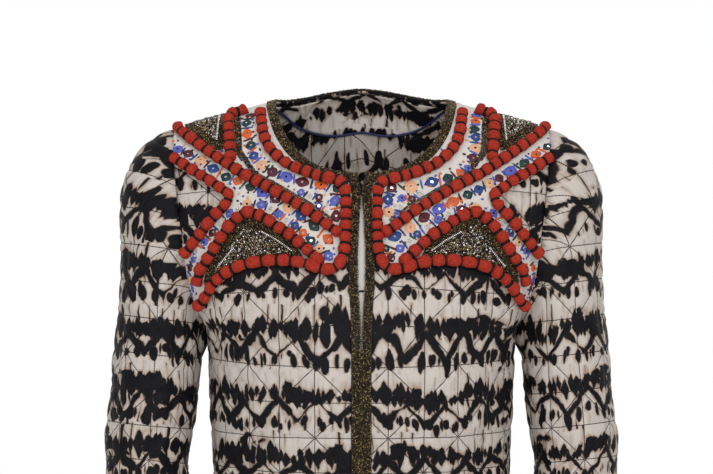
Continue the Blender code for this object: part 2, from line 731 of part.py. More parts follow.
def mitre(cut, numbers, rows, to_sleeve):
    """Sets the mitres of these armhole points. A body piece's two end ones also stand clear of
    the next piece along the armhole."""
    for k, (n, t) in enumerate(zip(numbers, rows)):
        start, out, aside = mitre_of(float(t))
        if not to_sleeve and k in (0, len(rows) - 1):
            beside = rows[1] if k == 0 else rows[-2]
            start = start + unit(armhole(beside) - start) * SEAM / 2
        cut.mitres[n] = (start, out, aside if to_sleeve else -aside)


def front():
    """The left front with everything that lies on it."""
    cut = Cut(body_cloth)
    seam = cut.add([(u, SEAM_V) for u in SEAM_U])
    arm = [seam[-1]] + cut.add([(edge_length(t), down_at(t)) for t in ARMHOLE_FRONT[1:]])
    side = [arm[-1]] + cut.add([(edge_length(t), down_at(t)) for t in SIDE[1:]])
    hem_u = np.linspace(edge_length(9), gap_at(DOWN[-1]) + TRIM_WIDTH, 7)[1:]
    hem = cut.add([(u, DOWN[-1]) for u in hem_u] + [(gap_at(DOWN[-1]), DOWN[-1])])
    edge = cut.add([(gap_at(v), v) for v in EDGE_V[-2::-1]])
    neck = spaced([(0.088, SEAM_V), (0.088, SEAM_V / 2)] + NECKLINE, 0.012)[::-1][:-1]
    neck[0] = (gap_at(neck[0, 1]), neck[0, 1])
    rim = cut.add(neck)
    outline = seam + arm[1:] + side[1:] + hem + edge + rim
    mitre(cut, arm, ARMHOLE_FRONT, False)

    trim_v = EDGE_V[-2::-1]
    inner = cut.add([(gap_at(v) + TRIM_WIDTH, v) for v in trim_v])
    neck_trim = beside(neck, TRIM_WIDTH)
    curve = cut.add(neck_trim[neck_trim[:, 0] > TRIM_WIDTH + 0.008])
    trim_line = cut.line([hem[-2]] + inner + curve + [seam[1]])
    border = [cut.flat[n] for n in outline]
    trim_region = np.vstack([trim_line, [border[outline.index(n)] for n in
                                         [seam[0]] + rim[::-1] + edge[::-1] + [hem[-1]]]])

    start = inner[len(trim_v) - 5]
    low = cut.add(spaced(YOKE_LOWER, 0.013))
    notch = cut.add(spaced(YOKE_NOTCH, 0.013))
    lower_line = cut.line([start] + low + [arm[13]])
    notch_line = cut.line([arm[10]] + notch + [arm[6]])
    above = [cut.flat[n] for n in inner[len(trim_v) - 4:] + curve + seam[1:]]
    down_arm = [cut.flat[n] for n in arm[1:7]]
    yoke_region = np.vstack([
        lower_line,
        [cut.flat[n] for n in (arm[12], arm[11])],
        notch_line,
        down_arm[-2::-1],
        above[::-1],
    ])
    beads = {}
    for name, points in (("upper", BEADS_UPPER), ("lower", BEADS_LOWER)):
        numbers = cut.add(points)
        beads[name] = cut.line(numbers + numbers[:1])[:-1]
    cut.lay(outline, QUILT_FRONT, [yoke_region])
    cut.settle()

    top = WALL / 2
    trim = cut.within(trim_region)
    yoke = cut.within(yoke_region)
    covered = set(trim) | set(yoke)
    open_cloth = [t for t in cut.triangles if t not in covered]
    pair(cut.solid("front_left", cut.triangles, -top, top, SEAM / 2, open_cloth), "quilted silk")
    trim_piece = cut.solid("edge_trim_left", trim, top + LAY, top + LAY + TRIM_HIGH, SEAM)
    pair(trim_piece, "bronze beads")
    yoke_top = top + LAY + YOKE_THICK
    yoke_piece = cut.solid("yoke_left", yoke, top + LAY, yoke_top, SEAM)
    pair(yoke_piece, "yoke cotton")
    for name, polygon in beads.items():
        low_z = yoke_top + LAY
        piece = cut.solid(f"bead_panel_{name}_left", cut.within(polygon), low_z, low_z + BEADS_HIGH, 0)
        pair(piece, "silver beads")
    return yoke_piece


def ground_of(obj):
    return BVHTree.FromPolygons(
        [v.co for v in obj.data.vertices], [tuple(p.vertices) for p in obj.data.polygons]
    )


def laid_cord(name, place, line, ground, radii, height, away=1):
    """A cord that lies along a line of the flat cloth, on the faces of the piece below it. Away
    is 1 on the outside of the cloth and -1 on its inside."""
    line = np.asarray(line)
    points = place(line)
    out = normals_of(place, line) * away
    heading = unit(np.gradient(points, axis=0))
    aside = unit(np.cross(heading, out))
    rings = []
    for k, radius in enumerate(radii):
        heights = []
        for near in (-0.5, -0.25, 0, 0.25, 0.5):
            beside = points[min(max(k + (1 if near > 0 else -1), 0), len(radii) - 1)]
            around = points[k] + (beside - points[k]) * abs(near)
            for share in (-0.6, -0.3, 0, 0.3, 0.6):
                above = around + aside[k] * radius * share + out[k] * 0.03
                hit = ground.ray_cast(Vector(above), Vector(-out[k]), 0.06)[0]
                if hit is not None:
                    heights.append((np.array(hit) - points[k]) @ out[k])
        base = points[k] + out[k] * (max(heights) + 0.0005)
        tall = out[k] * radius * height
        rings.append([
            base - aside[k] * radius * 0.6,
            base + aside[k] * radius * 0.6,
            base + aside[k] * radius + tall * 0.5,
            base + aside[k] * radius * 0.55 + tall,
            base - aside[k] * radius * 0.55 + tall,
            base - aside[k] * radius + tall * 0.5,
        ])
    corners = [corner for section in rings for corner in section]
    faces = []
    for k in range(len(rings) - 1):
        for c in range(6):
            d = (c + 1) % 6
            faces.append((6 * k + c, 6 * k + d, 6 * k + 6 + d, 6 * k + 6 + c))
    faces.append(tuple(range(5, -1, -1)))
    faces.append(tuple(len(corners) - 6 + c for c in range(6)))
    return make(name, corners, faces)


def cords(yoke_piece):
    """The bobbled cords of the left side, on the yoke."""
    ground = ground_of(yoke_piece)
    for name, points in CORDS.items():
        fine = spaced(points, 0.002)
        run = np.linalg.norm(np.diff(body_cloth(fine), axis=0), axis=1)
        run = np.concatenate([[0], np.cumsum(run)])
        count = round(run[-1] / BOBBLE)
        at = np.linspace(0, run[-1], 2 * count + 1)
        line = np.stack([np.interp(at, run, column) for column in fine.T], axis=1)
        radii = np.where(np.arange(len(at)) % 2, CORD_RADIUS, CORD_RADIUS * CORD_WAIST)
        piece = laid_cord(f"{name}_left", body_cloth, line, ground, radii, 1.75)
        pair(piece, "red cord")


def both_sides(points):
    """The points of one side, and before them those of the other, meeting on the middle plane."""
    points = np.asarray(points)
    return np.vstack([points * (-1, 1), points[-2::-1]])


def back():
    """The back, its neck trim, and the facing inside its neck."""
    cut = Cut(body_cloth)
    left = [(u, SEAM_V) for u in SEAM_U]
    arm_flat = [(edge_length(t), down_at(t)) for t in ARMHOLE_BACK[-2::-1]]
    side_flat = [(edge_length(t), down_at(t)) for t in -SIDE[1:]]
    seam = cut.add(left)
    arm = [seam[-1]] + cut.add(arm_flat)
    side = cut.add(side_flat)
    hem_end = edge_length(-9)
    hem = cut.add([(u, DOWN[0]) for u in np.linspace(hem_end, -hem_end, 13)[1:-1]])
    other_side = cut.add([(-u, v) for u, v in side_flat[::-1]])
    other_arm = cut.add([(-u, v) for u, v in arm_flat[::-1]])
    other_seam = cut.add([(-u, v) for u, v in left[::-1]])
    neck_half = spaced([(0.088, SEAM_V)] + BACK_NECK, 0.0125)[1:]
    neck = cut.add(both_sides(neck_half))
    outline = seam + arm[1:] + side + hem + other_side + other_arm + other_seam + neck
    rows = ARMHOLE_BACK[::-1]
    mitre(cut, arm, rows, False)
    for n, m in zip(arm, [other_seam[0]] + other_arm[::-1]):
        start, out, aside = cut.mitres[n]
        flip = np.array([-1.0, 1, 1])
        cut.mitres[m] = (start * flip, out * flip, aside * flip)

    trim_half = beside(np.vstack([[(0.088, SEAM_V)], neck_half]), TRIM_WIDTH)[1:]
    trim_half[-1, 0] = 0.0
    trim_numbers = cut.add(both_sides(trim_half))
    trim_line = cut.line([other_seam[-2]] + trim_numbers + [seam[1]])
    trim_region = np.vstack([trim_line, [cut.flat[n] for n in [seam[0]] + neck[::-1] + [other_seam[-1]]]])
    facing_numbers = cut.add(both_sides(spaced(FACING_EDGE, 0.015)))
    facing_line = cut.line([other_seam[-2]] + facing_numbers + [seam[1]])
    facing_region = np.vstack([facing_line, trim_region[len(trim_line):]])
    cut.lay(outline, QUILT_BACK, [])
    cut.settle()

    top = WALL / 2
    trim = cut.within(trim_region)
    covered = set(trim)
    open_cloth = [t for t in cut.triangles if t not in covered]
    piece = cut.solid("back", cut.triangles, -top, top, SEAM / 2, open_cloth)
    finish(piece, "quilted silk")
    finish(cut.solid("back_neck_trim", trim, top + LAY, top + LAY + TRIM_HIGH, SEAM), "bronze beads")
    facing = cut.within(facing_region)
    under = -top - LAY
    finish(cut.solid("neck_facing", facing, under - FACING_THICK, under, SEAM), "quilted silk")

    below = beside(facing_line, -PIPING_RADIUS - SEAM * 2)
    line = spaced(below[1:-1], 0.0155)
    radii = np.full(len(line), PIPING_RADIUS)
    finish(laid_cord("facing_piping", body_cloth, line, ground_of(piece), radii, 1.5, -1), "navy binding")


def sleeve():
    """The left sleeve, a tube with its seam under the arm."""
    cut = Cut(sleeve_cloth)
    rows = np.concatenate([ARMHOLE_BACK[:-1], ARMHOLE_FRONT])
    angles = np.interp(rows, LOOP_T, LOOP_ANGLE)
    flat_cap = [(-angle * girth(0.0) / (2 * np.pi), -cap_length(angle)) for angle in angles]
    top = cut.add(flat_cap)
    levels = np.concatenate([[0.0], np.linspace(0, CUFF, 13)[1:]])
    ahead = cut.add([(-girth(v) / 2, v) for v in levels])
    cuff = cut.add([(u, CUFF) for u in np.linspace(-girth(CUFF) / 2, girth(CUFF) / 2, 9)[1:-1]])
    behind = cut.add([(girth(v) / 2, v) for v in levels[::-1]])
    outline = top + ahead + cuff + behind
    mitre(cut, top, rows, True)
    cut.line(cut.add([(u, v + HEAD_ROW) for u, v in flat_cap[2:-2]]))
    cut.lay(outline, QUILT_SLEEVE, [])
    cut.welded = dict(zip([top[-1]] + ahead, [top[0]] + behind[::-1]))
    cut.settle()
    pair(cut.solid("sleeve_left", cut.triangles, -WALL / 2, WALL / 2, SEAM / 2, cut.triangles),
         "quilted silk")


cords(front())
back()
sleeve()
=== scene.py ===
# %% [markdown]
# # A quilted jacket with a mirror-work yoke
# The packed CAD model is the fixed frame of this scene. It holds every cut piece as a plain solid.
# This lesson covers each solid with the cloth, cord, stitches, beads and mirrors that the real
# jacket has. All the cloth is laid out flat first, as a tailor does, and then put in its place, so
# that quilting, print and embroidery follow the weave and not the room.

import bpy
import numpy as np
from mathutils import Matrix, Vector
from mathutils.geometry import delaunay_2d_cdt


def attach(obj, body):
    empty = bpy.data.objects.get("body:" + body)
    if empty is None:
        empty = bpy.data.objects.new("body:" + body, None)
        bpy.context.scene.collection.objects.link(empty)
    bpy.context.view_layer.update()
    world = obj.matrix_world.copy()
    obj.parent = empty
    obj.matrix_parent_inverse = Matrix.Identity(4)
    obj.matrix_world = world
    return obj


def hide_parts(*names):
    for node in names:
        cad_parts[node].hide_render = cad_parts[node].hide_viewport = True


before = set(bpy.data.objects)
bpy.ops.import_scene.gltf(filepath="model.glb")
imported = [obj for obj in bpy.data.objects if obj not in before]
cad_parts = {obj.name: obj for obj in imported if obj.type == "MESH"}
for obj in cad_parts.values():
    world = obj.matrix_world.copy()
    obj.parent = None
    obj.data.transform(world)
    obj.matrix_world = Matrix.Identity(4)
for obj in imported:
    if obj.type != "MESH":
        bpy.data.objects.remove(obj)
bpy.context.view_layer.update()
print("CAD nodes:", len(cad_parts))

# %% [markdown]
# ## The cut cloth and where it goes
# A garment is a few flat pieces bent to a body. One way to model it is to sculpt the bent form.
# Here two functions bend it instead: each takes a place on the flat cloth, u out from the middle
# and v down from the shoulder, in metres, and gives the point in space. The tables are those of
# the CAD source, with the front gap and some of the cord lines moved by a few millimetres, so what
# is made from them lies on the CAD pieces.

# %% Sizes of the cloth
WALL = 0.0016  # the quilted silk
GAP = 0.0003  # between layers that touch
QUILT = 0.0362  # a square of the quilting, and one of its crossings on each piece
QUILT_FRONT = (0.0262, 0.2145)
QUILT_BACK = (0.0181, -0.2205)
QUILT_SLEEVE = (0.0425, 0.0)
TRIM_WIDTH = 0.0085  # the beaded edging
SHOULDER_ROW = -0.6  # the shoulder seam lies a little behind the ridge
CORD_RADIUS = 0.0062
BOBBLE = 0.0119  # a bobble's length along its cord, and on the lower run
LONG_BOBBLE = 0.0150
print("quilting squares of", QUILT, "m, bobbles every", BOBBLE, "m")

# %% The body in rows
# The body of the jacket, in rows from the back hem over the shoulder to the front hem. Each row
# runs from the middle plane to the armhole or the side seam.
BODY = np.array([
    # row, middle_y, middle_z, edge_x, edge_y, edge_z, round, swell_y, swell_z, drop
    (-9, 0.108, -0.520, 0.160, 0.000, -0.520, 1.00, 0.000, 0.000, 1.0),
    (-8, 0.100, -0.445, 0.153, 0.000, -0.445, 1.00, 0.000, 0.000, 1.0),
    (-7, 0.096, -0.370, 0.149, 0.000, -0.370, 1.00, 0.000, 0.000, 1.0),
    (-6, 0.104, -0.300, 0.152, 0.000, -0.300, 1.00, 0.000, 0.000, 1.0),
    (-5, 0.112, -0.228, 0.154, 0.000, -0.228, 1.00, 0.003, 0.000, 1.0),
    (-4, 0.112, -0.140, 0.167, 0.045, -0.180, 0.90, 0.006, 0.000, 1.0),
    (-3, 0.102, -0.060, 0.177, 0.057, -0.122, 0.70, 0.004, 0.000, 1.1),
    (-2, 0.079, 0.005, 0.185, 0.047, -0.070, 0.45, 0.000, 0.000, 1.3),
    (-1, 0.042, 0.021, 0.189, 0.026, -0.033, 0.20, 0.000, 0.003, 1.5),
    (0, -0.002, 0.012, 0.188, 0.000, -0.020, 0.00, 0.000, 0.002, 1.5),
    (1, -0.036, -0.008, 0.189, -0.025, -0.033, 0.20, 0.000, 0.002, 1.3),
    (2, -0.068, -0.050, 0.186, -0.044, -0.070, 0.45, -0.002, 0.001, 1.1),
    (3, -0.092, -0.105, 0.180, -0.053, -0.122, 0.70, -0.004, 0.000, 1.0),
    (4, -0.110, -0.165, 0.169, -0.042, -0.180, 0.90, -0.007, 0.000, 1.0),
    (5, -0.120, -0.232, 0.154, 0.000, -0.228, 1.00, -0.010, 0.000, 1.0),
    (6, -0.120, -0.300, 0.152, 0.000, -0.300, 1.00, -0.006, 0.000, 1.0),
    (7, -0.110, -0.370, 0.149, 0.000, -0.370, 1.00, 0.000, 0.000, 1.0),
    (8, -0.108, -0.445, 0.153, 0.000, -0.445, 1.00, 0.000, 0.000, 1.0),
    (9, -0.114, -0.520, 0.160, 0.000, -0.520, 1.00, 0.000, 0.000, 1.0),
])
UNDERARM_BACK = (0.004, 0.046, 0.020)  # which way the armhole runs as it leaves the underarm
UNDERARM_FRONT = (-0.004, 0.046, -0.020)  # and as it comes back to it
FINE = 40  # steps in a row's width
print("body rows:", len(BODY))

# %% The sleeve in rings
# The sleeve's rings: distance below the biceps ring, centre, half width, half depth.
RINGS = np.array([
    # down, x, y, z, half_x, half_y
    (0.000, 0.2065, 0.005, -0.245, 0.0435, 0.056),
    (0.080, 0.2145, 0.001, -0.3245, 0.0425, 0.053),
    (0.160, 0.2220, -0.008, -0.403, 0.0395, 0.049),
    (0.250, 0.2290, -0.026, -0.491, 0.0355, 0.043),
    (0.335, 0.2330, -0.046, -0.574, 0.0325, 0.039),
])
# How the cap leaves the armhole and comes into the biceps ring, at its top, front and underarm.
CAP_LEAVES = np.array([(0.178, 0.0, -0.052), (0.090, -0.030, -0.072), (0.008, 0.0, -0.029)])
CAP_LANDS = np.array([(0.045, -0.006, -0.328), (0.012, -0.004, -0.200), (0.003, 0.0, -0.030)])
print("sleeve rings:", len(RINGS))

# %% [markdown]
# ## The lines of the yoke
# A maker marks the yoke with a few chalk lines: the neckline, the edges of the yoke, and one line
# for each cord. They are kept here as a handful of flat points that a smooth curve runs through.

# %% The chalk lines
# Lines of the front, in metres on the cloth: out from the middle plane, down from the ridge.
NECKLINE = [(0.0875, 0.000), (0.084, 0.027), (0.0775, 0.050), (0.065, 0.072), (0.046, 0.0895),
            (0.024, 0.099), (0.002, 0.103)]
FRONT_GAP = np.array([
    # down, half_gap
    (0.100, 0.0042),
    (0.112, 0.0040),
    (0.122, 0.0014),
    (0.132, 0.0016),
    (0.150, 0.0030),
    (0.190, 0.0046),
    (0.215, 0.0042),
    (0.240, 0.0026),
    (0.270, 0.0014),
    (0.600, 0.0010),
])
YOKE_LOWER = [(0.018, 0.198), (0.0285, 0.2065), (0.042, 0.2065), (0.058, 0.202), (0.082, 0.1975),
              (0.102, 0.1975), (0.1165, 0.199), (0.1315, 0.204), (0.145, 0.2135), (0.158, 0.226),
              (0.170, 0.2335), (0.186, 0.2335)]
YOKE_NOTCH = [(0.178, 0.163), (0.1675, 0.1525), (0.158, 0.1415), (0.148, 0.130), (0.1405, 0.1205),
              (0.1395, 0.1145), (0.145, 0.109), (0.158, 0.097), (0.1695, 0.0875), (0.181, 0.077)]
BEADS_UPPER = [(0.142, -0.006), (0.160, -0.006), (0.1775, -0.006), (0.1755, 0.0085),
               (0.1705, 0.021), (0.1595, 0.0385), (0.147, 0.054), (0.1415, 0.0575),
               (0.1415, 0.040), (0.142, 0.017)]
BEADS_LOWER = [(0.0615, 0.187), (0.066, 0.177), (0.0775, 0.1665), (0.0875, 0.159), (0.095, 0.152),
               (0.1025, 0.147), (0.114, 0.143), (0.119, 0.1465), (0.127, 0.154), (0.1355, 0.166),
               (0.142, 0.176), (0.152, 0.1885), (0.157, 0.1965), (0.1585, 0.204), (0.153, 0.203),
               (0.1375, 0.192), (0.119, 0.186), (0.102, 0.1845), (0.081, 0.1845)]
CORDS = {
    "neck_cord": [(0.1018, 0.0135), (0.1005, 0.024), (0.0980, 0.047), (0.0915, 0.067),
                  (0.0770, 0.0845), (0.0605, 0.0955), (0.0410, 0.1045), (0.0262, 0.1092),
                  (0.0175, 0.1155), (0.0155, 0.126), (0.0155, 0.145), (0.0158, 0.165),
                  (0.0170, 0.182), (0.0208, 0.1935), (0.0285, 0.1995), (0.041, 0.1982),
                  (0.0565, 0.1915), (0.0815, 0.1866), (0.102, 0.1862), (0.1175, 0.1878),
                  (0.134, 0.1938), (0.149, 0.2045), (0.162, 0.2185), (0.1735, 0.2265)],
    "leaf_cord": [(0.0375, 0.1945), (0.048, 0.1845), (0.061, 0.1710), (0.0725, 0.1600),
                  (0.0825, 0.153), (0.0905, 0.146), (0.0995, 0.140), (0.1135, 0.135),
                  (0.124, 0.1405), (0.1325, 0.149), (0.1415, 0.161), (0.148, 0.171),
                  (0.158, 0.184), (0.1640, 0.1915), (0.1685, 0.206)],
    "diagonal_cord": [(0.1880, 0.0075), (0.1845, 0.0180), (0.178, 0.0305), (0.166, 0.0470),
                      (0.153, 0.0615), (0.138, 0.0762), (0.119, 0.0925), (0.1015, 0.1045),
                      (0.0855, 0.1155), (0.070, 0.1265), (0.0525, 0.139), (0.037, 0.1525),
                      (0.0195, 0.1670)],
    "shoulder_cord": [(0.1135, 0.0070), (0.1205, 0.0070), (0.1275, 0.0090), (0.1322, 0.0140),
                      (0.1338, 0.022), (0.133, 0.034), (0.1315, 0.0605), (0.1300, 0.0780)],
    "outer_cord": [(0.1930, 0.0570), (0.186, 0.0645), (0.1775, 0.0735), (0.166, 0.0845),
                   (0.1545, 0.0938), (0.1415, 0.1055), (0.1325, 0.114), (0.1345, 0.1235),
                   (0.144, 0.1335), (0.1545, 0.145), (0.164, 0.156), (0.1745, 0.1665),
                   (0.1835, 0.1740)],
}
# Lines of the back, on one side: out from the middle plane, and back and down from the ridge.
BACK_NECK = [(0.0865, -0.030), (0.080, -0.040), (0.064, -0.0475), (0.040, -0.050), (0.000, -0.050)]
FACING_EDGE = [(0.0905, -0.038), (0.084, -0.062), (0.071, -0.086), (0.052, -0.104), (0.027, -0.116),
               (0.000, -0.120)]
print("cords on each side:", len(CORDS))

# %% [markdown]
# ## Smooth curves
# A chalk line is drawn through a few marks with one sweep of the hand. Blender's curves could do
# it, but here the points are needed as numbers, so a cubic is run from each mark to the next.

# %% A smooth curve through a few points
def hermite(h, start, leaves, end, lands):
    """The cubic from start to end that sets out along leaves and comes in along lands."""
    return (
        (2 * h**3 - 3 * h**2 + 1) * start
        + (h**3 - 2 * h**2 + h) * leaves
        + (3 * h**2 - 2 * h**3) * end
        + (h**3 - h**2) * lands
    )


def through(rows, steps, first=None, last=None):
    """A smooth curve through the rows, with this many steps from each to the next."""
    rows = np.asarray(rows, float)
    slopes = np.gradient(rows, axis=0)
    if first is not None:
        slopes[0] = first
    if last is not None:
        slopes[-1] = last
    h = (np.arange(steps) / steps)[:, None]
    spans = [hermite(h, rows[k], slopes[k], rows[k + 1], slopes[k + 1])
             for k in range(len(rows) - 1)]
    return np.vstack(spans + [rows[-1:]])


print("neckline:", len(through(NECKLINE, 12)), "points from", len(NECKLINE))


# %% Lengths along a line, and lines beside it
def run_of(points):
    """How far along the line each of its points is."""
    return np.concatenate([[0], np.cumsum(np.linalg.norm(np.diff(points, axis=0), axis=1))])


def read_at(at, run, rows):
    """The rows, read at these places between the ones that they belong to."""
    return np.stack([np.interp(at, run, column) for column in rows.T], axis=-1)


def spaced(points, spacing):
    """The smooth curve through the points, as points an even distance apart."""
    curve = through(points, 12)
    run = run_of(curve)
    count = max(1, round(run[-1] / spacing))
    return read_at(np.linspace(0, run[-1], count + 1), run, curve)


def unit(vectors):
    """The vectors, each made one long."""
    return vectors / np.linalg.norm(vectors, axis=-1, keepdims=True)


def beside(line, away):
    """The line of the flat cloth moved sideways, to the right of the way that it runs as v
    goes down the page."""
    heading = unit(np.gradient(line, axis=0))
    return line + np.stack([-heading[:, 1], heading[:, 0]], axis=1) * away


for cord, marks in CORDS.items():
    print(cord, "is", round(run_of(spaced(marks, 0.001))[-1], 3), "m long")

# %% [markdown]
# ## Bending the body's cloth
# The rows say where the cloth's middle and edge are. Between them it goes round as a quarter of an
# ellipse at the chest, and nearly straight over the shoulder. Cloth can't stretch, so the length
# along each row is measured, and a table turns a distance on the flat cloth back into a share of
# the row. Soft folds stand at the armpit and towards the hem.

# %% The body's rows on fine steps
ROWS = through(BODY[:, 1:], FINE)
# The edge has a corner where the armhole meets the side seam, so it is three curves.
ROWS[:, 2:5] = np.vstack([
    through(BODY[:5, 3:6], FINE)[:-1],
    through(BODY[4:15, 3:6], FINE, UNDERARM_BACK, UNDERARM_FRONT)[:-1],
    through(BODY[14:, 3:6], FINE),
])
T = np.linspace(BODY[0, 0], BODY[-1, 0], len(ROWS))
S = np.linspace(0, 1, 101)


def body(s, t):
    """The middle of the body's cloth: s from the middle plane to the edge, t by rows."""
    my, mz, ex, ey, ez, turn, swell_y, swell_z, drop = (
        np.interp(t, T, column) for column in ROWS.T
    )
    across = (1 - turn) * s + turn * np.sin(np.pi * s / 2)
    away = (1 - turn) * s + turn * (1 - np.cos(np.pi * s / 2))
    swell = np.sin(np.pi * s)
    return np.stack([
        ex * across,
        my + (ey - my) * away + swell_y * swell,
        mz + (ez - mz) * np.abs(across) ** drop + swell_z * swell,
    ], axis=-1)


print("fine rows:", len(T))

# %% How far out and down each place is
MEASURED = 0.45  # the share of the width at which the cloth is measured from hem to hem
U_STEP = 0.002
U = np.arange(0, 0.30, U_STEP)


def measure():
    """The length along each fine row, and down the cloth from the ridge."""
    grid = body(S[None, :], T[:, None])
    steps = np.linalg.norm(np.diff(grid, axis=1), axis=2)
    along = np.concatenate([np.zeros((len(T), 1)), np.cumsum(steps, axis=1)], axis=1)
    down = run_of(body(np.full(len(T), MEASURED), T))
    return along, down - down[len(T) // 2]


ALONG, DOWN = measure()


def inverse():
    """For each fine row and each distance out from the middle plane, the s that lies there."""
    table = np.empty((len(T), len(U)))
    for k, along in enumerate(ALONG):
        slope = (1 - S[-6]) / (along[-1] - along[-6])
        beyond = 1 + (U - along[-1]) * slope
        table[k] = np.where(U <= along[-1], np.interp(U, along, S), beyond)
    return table


INVERSE = inverse()
print("from the back hem to the front hem:", round(float(DOWN[-1] - DOWN[0]), 3), "m of cloth")


# %% From the flat cloth to the body
def table_at(table, i, j):
    """The table between its entries."""
    i = np.clip(i, 0, table.shape[0] - 1.001)
    j = np.clip(j, 0, table.shape[1] - 1.001)
    i0 = i.astype(int)
    j0 = j.astype(int)
    a = i - i0
    b = j - j0
    return (1 - a) * ((1 - b) * table[i0, j0] + b * table[i0, j0 + 1]) + a * (
        (1 - b) * table[i0 + 1, j0] + b * table[i0 + 1, j0 + 1]
    )


def smooth_body(uv):
    """The body's cloth without its folds, and where it is in s. A point left of the middle
    plane is the mirror of one on the right."""
    u = np.abs(uv[:, 0])
    t = np.interp(uv[:, 1], DOWN, T)
    s = table_at(INVERSE, (t - T[0]) * FINE, u / U_STEP)
    points = body(s, t)
    points[:, 0] *= np.where(uv[:, 0] < 0, -1, 1)
    return points, s


def normals_of(place, uv):
    """Which way the cloth faces, outwards."""
    step = 0.0005
    du = place(uv + (step, 0)) - place(uv - (step, 0))
    dv = place(uv + (0, step)) - place(uv - (0, step))
    return unit(np.cross(dv, du))


middle_back = smooth_body(np.array([[0.0, DOWN[0] / 2]]))[0][0]
print("middle of the back at", np.round(middle_back, 3))

# %% The body's folds
HEM_FOLD = 0.0045  # how high the folds above the hem stand
HEM_FOLDS = 2.5  # and how many there are from the middle plane to the side
HEM_FROM, HEM_OVER = 0.30, 0.22  # they grow from here, over this length
ARMPIT_FOLD = 0.004
ARMPIT_S, ARMPIT_WIDE = 0.80, 0.10
ARMPIT_V, ARMPIT_TALL = 0.232, 0.030


def body_folds(s, v):
    """How far the body's cloth stands out in its widest folds."""
    clear = np.clip(np.sin(np.pi * np.clip(s, 0, 1)), 0, 1)
    lower = np.clip((np.abs(v) - HEM_FROM) / HEM_OVER, 0, 1)
    hanging = HEM_FOLD * lower * np.cos(2 * np.pi * s * HEM_FOLDS)
    armpit = ARMPIT_FOLD * np.exp(
        -(((s - ARMPIT_S) / ARMPIT_WIDE) ** 2) - ((v - ARMPIT_V) / ARMPIT_TALL) ** 2)
    return clear * (hanging + armpit)


def body_cloth(uv):
    """Points of the body's cloth, from places on the flat cloth."""
    uv = np.asarray(uv, float)
    points, s = smooth_body(uv)
    off_hem = np.stack([uv[:, 0], np.clip(uv[:, 1], DOWN[0] + 0.001, DOWN[-1] - 0.001)], axis=1)
    out = normals_of(lambda at: smooth_body(at)[0], off_hem)
    return points + out * body_folds(s, uv[:, 1])[:, None]


print("front hem at", np.round(body_cloth([[0.08, DOWN[-1]]])[0], 3))


# %% The edge of the body's cloth
def edge_length(t):
    """How far out the edge of this row is, on the flat cloth."""
    return np.interp(t, T, ALONG[:, -1])


def down_at(t):
    """How far down the flat cloth this row is."""
    return np.interp(t, T, DOWN)


def armhole(t):
    """The point of the armhole on this row."""
    return read_at(t, T, ROWS[:, 2:5])


def gap_at(v):
    """Half the width of the front opening."""
    return np.interp(v, FRONT_GAP[:, 0], FRONT_GAP[:, 1])


print("side seam", round(float(edge_length(7)), 3), "m out on the flat front")

# %% [markdown]
# ## Bending the sleeve's cloth
# Below the underarm the sleeve is a bent tube of elliptic rings. Above it, its cap is set into the
# armhole: a curve runs from each point of the armhole to its own point of the first ring. It could
# be modelled as a tube from the start, but cut flat and bent it carries its print and quilting up
# to the armhole as a real sleeve does.

# %% The armhole as a loop
# Each of its points belongs to an angle round the sleeve, by its share of the loop.
LOOP_T = np.linspace(-5, 5, 401)
LOOP_RUN = run_of(armhole(LOOP_T))
TOP_RUN = np.interp(0, LOOP_T, LOOP_RUN)
LOOP_ANGLE = np.pi * np.where(
    LOOP_T < 0,
    (LOOP_RUN - TOP_RUN) / TOP_RUN,
    (LOOP_RUN - TOP_RUN) / (LOOP_RUN[-1] - TOP_RUN),
)
print("the armhole is", round(float(LOOP_RUN[-1]), 3), "m round")

# %% The sleeve below the biceps
RING_LINES = through(RINGS[:, 1:], FINE)
RING_DOWN = through(RINGS[:, :1], FINE)[:, 0]
CUFF = RINGS[-1, 0]


def ring(angle, v):
    """A point of the tube. Angle 0 is its outer side, and a quarter turn its front."""
    x, y, z, half_x, half_y = (np.interp(v, RING_DOWN, column) for column in RING_LINES.T)
    heading = unit(np.stack([np.interp(v, RING_DOWN, np.gradient(column, RING_DOWN))
                             for column in RING_LINES[:, :3].T], axis=-1))
    out = unit(np.array([1.0, 0, 0]) - heading * heading[..., :1])
    front = np.cross(heading, out)
    return (
        np.stack([x, y, z], axis=-1)
        + out * (half_x * np.cos(angle))[..., None]
        + front * (half_y * np.sin(angle))[..., None]
    )


def girth(v):
    """The length round the sleeve."""
    half_x, half_y = (np.interp(v, RING_DOWN, column) for column in RING_LINES[:, 3:].T)
    return 2 * np.pi * np.sqrt((half_x**2 + half_y**2) / 2)


print("girth at the biceps and the cuff:", np.round(girth(np.array([0, CUFF])), 3))


# %% The cap of the sleeve
def shares(angle, table):
    """The table's top, front and underarm rows, mixed by how near each the angle is."""
    c = np.cos(angle)
    top = ((1 + c) / 2) ** 2
    under = ((1 - c) / 2) ** 2
    mixed = top[..., None] * table[0] + (1 - top - under)[..., None] * table[1]
    mixed = mixed + under[..., None] * table[2]
    mixed[..., 1] *= np.sin(angle)
    return mixed


def cap(angle, h):
    """The sleeve above the biceps ring, from the armhole at h = 0 to the ring at h = 1."""
    start = armhole(np.interp(angle, LOOP_ANGLE, LOOP_T))
    end = ring(angle, np.zeros_like(angle))
    return hermite(h[..., None], start, shares(angle, CAP_LEAVES), end, shares(angle, CAP_LANDS))


ANGLES = np.linspace(-np.pi, np.pi, 181)
CAP_STEPS = 40


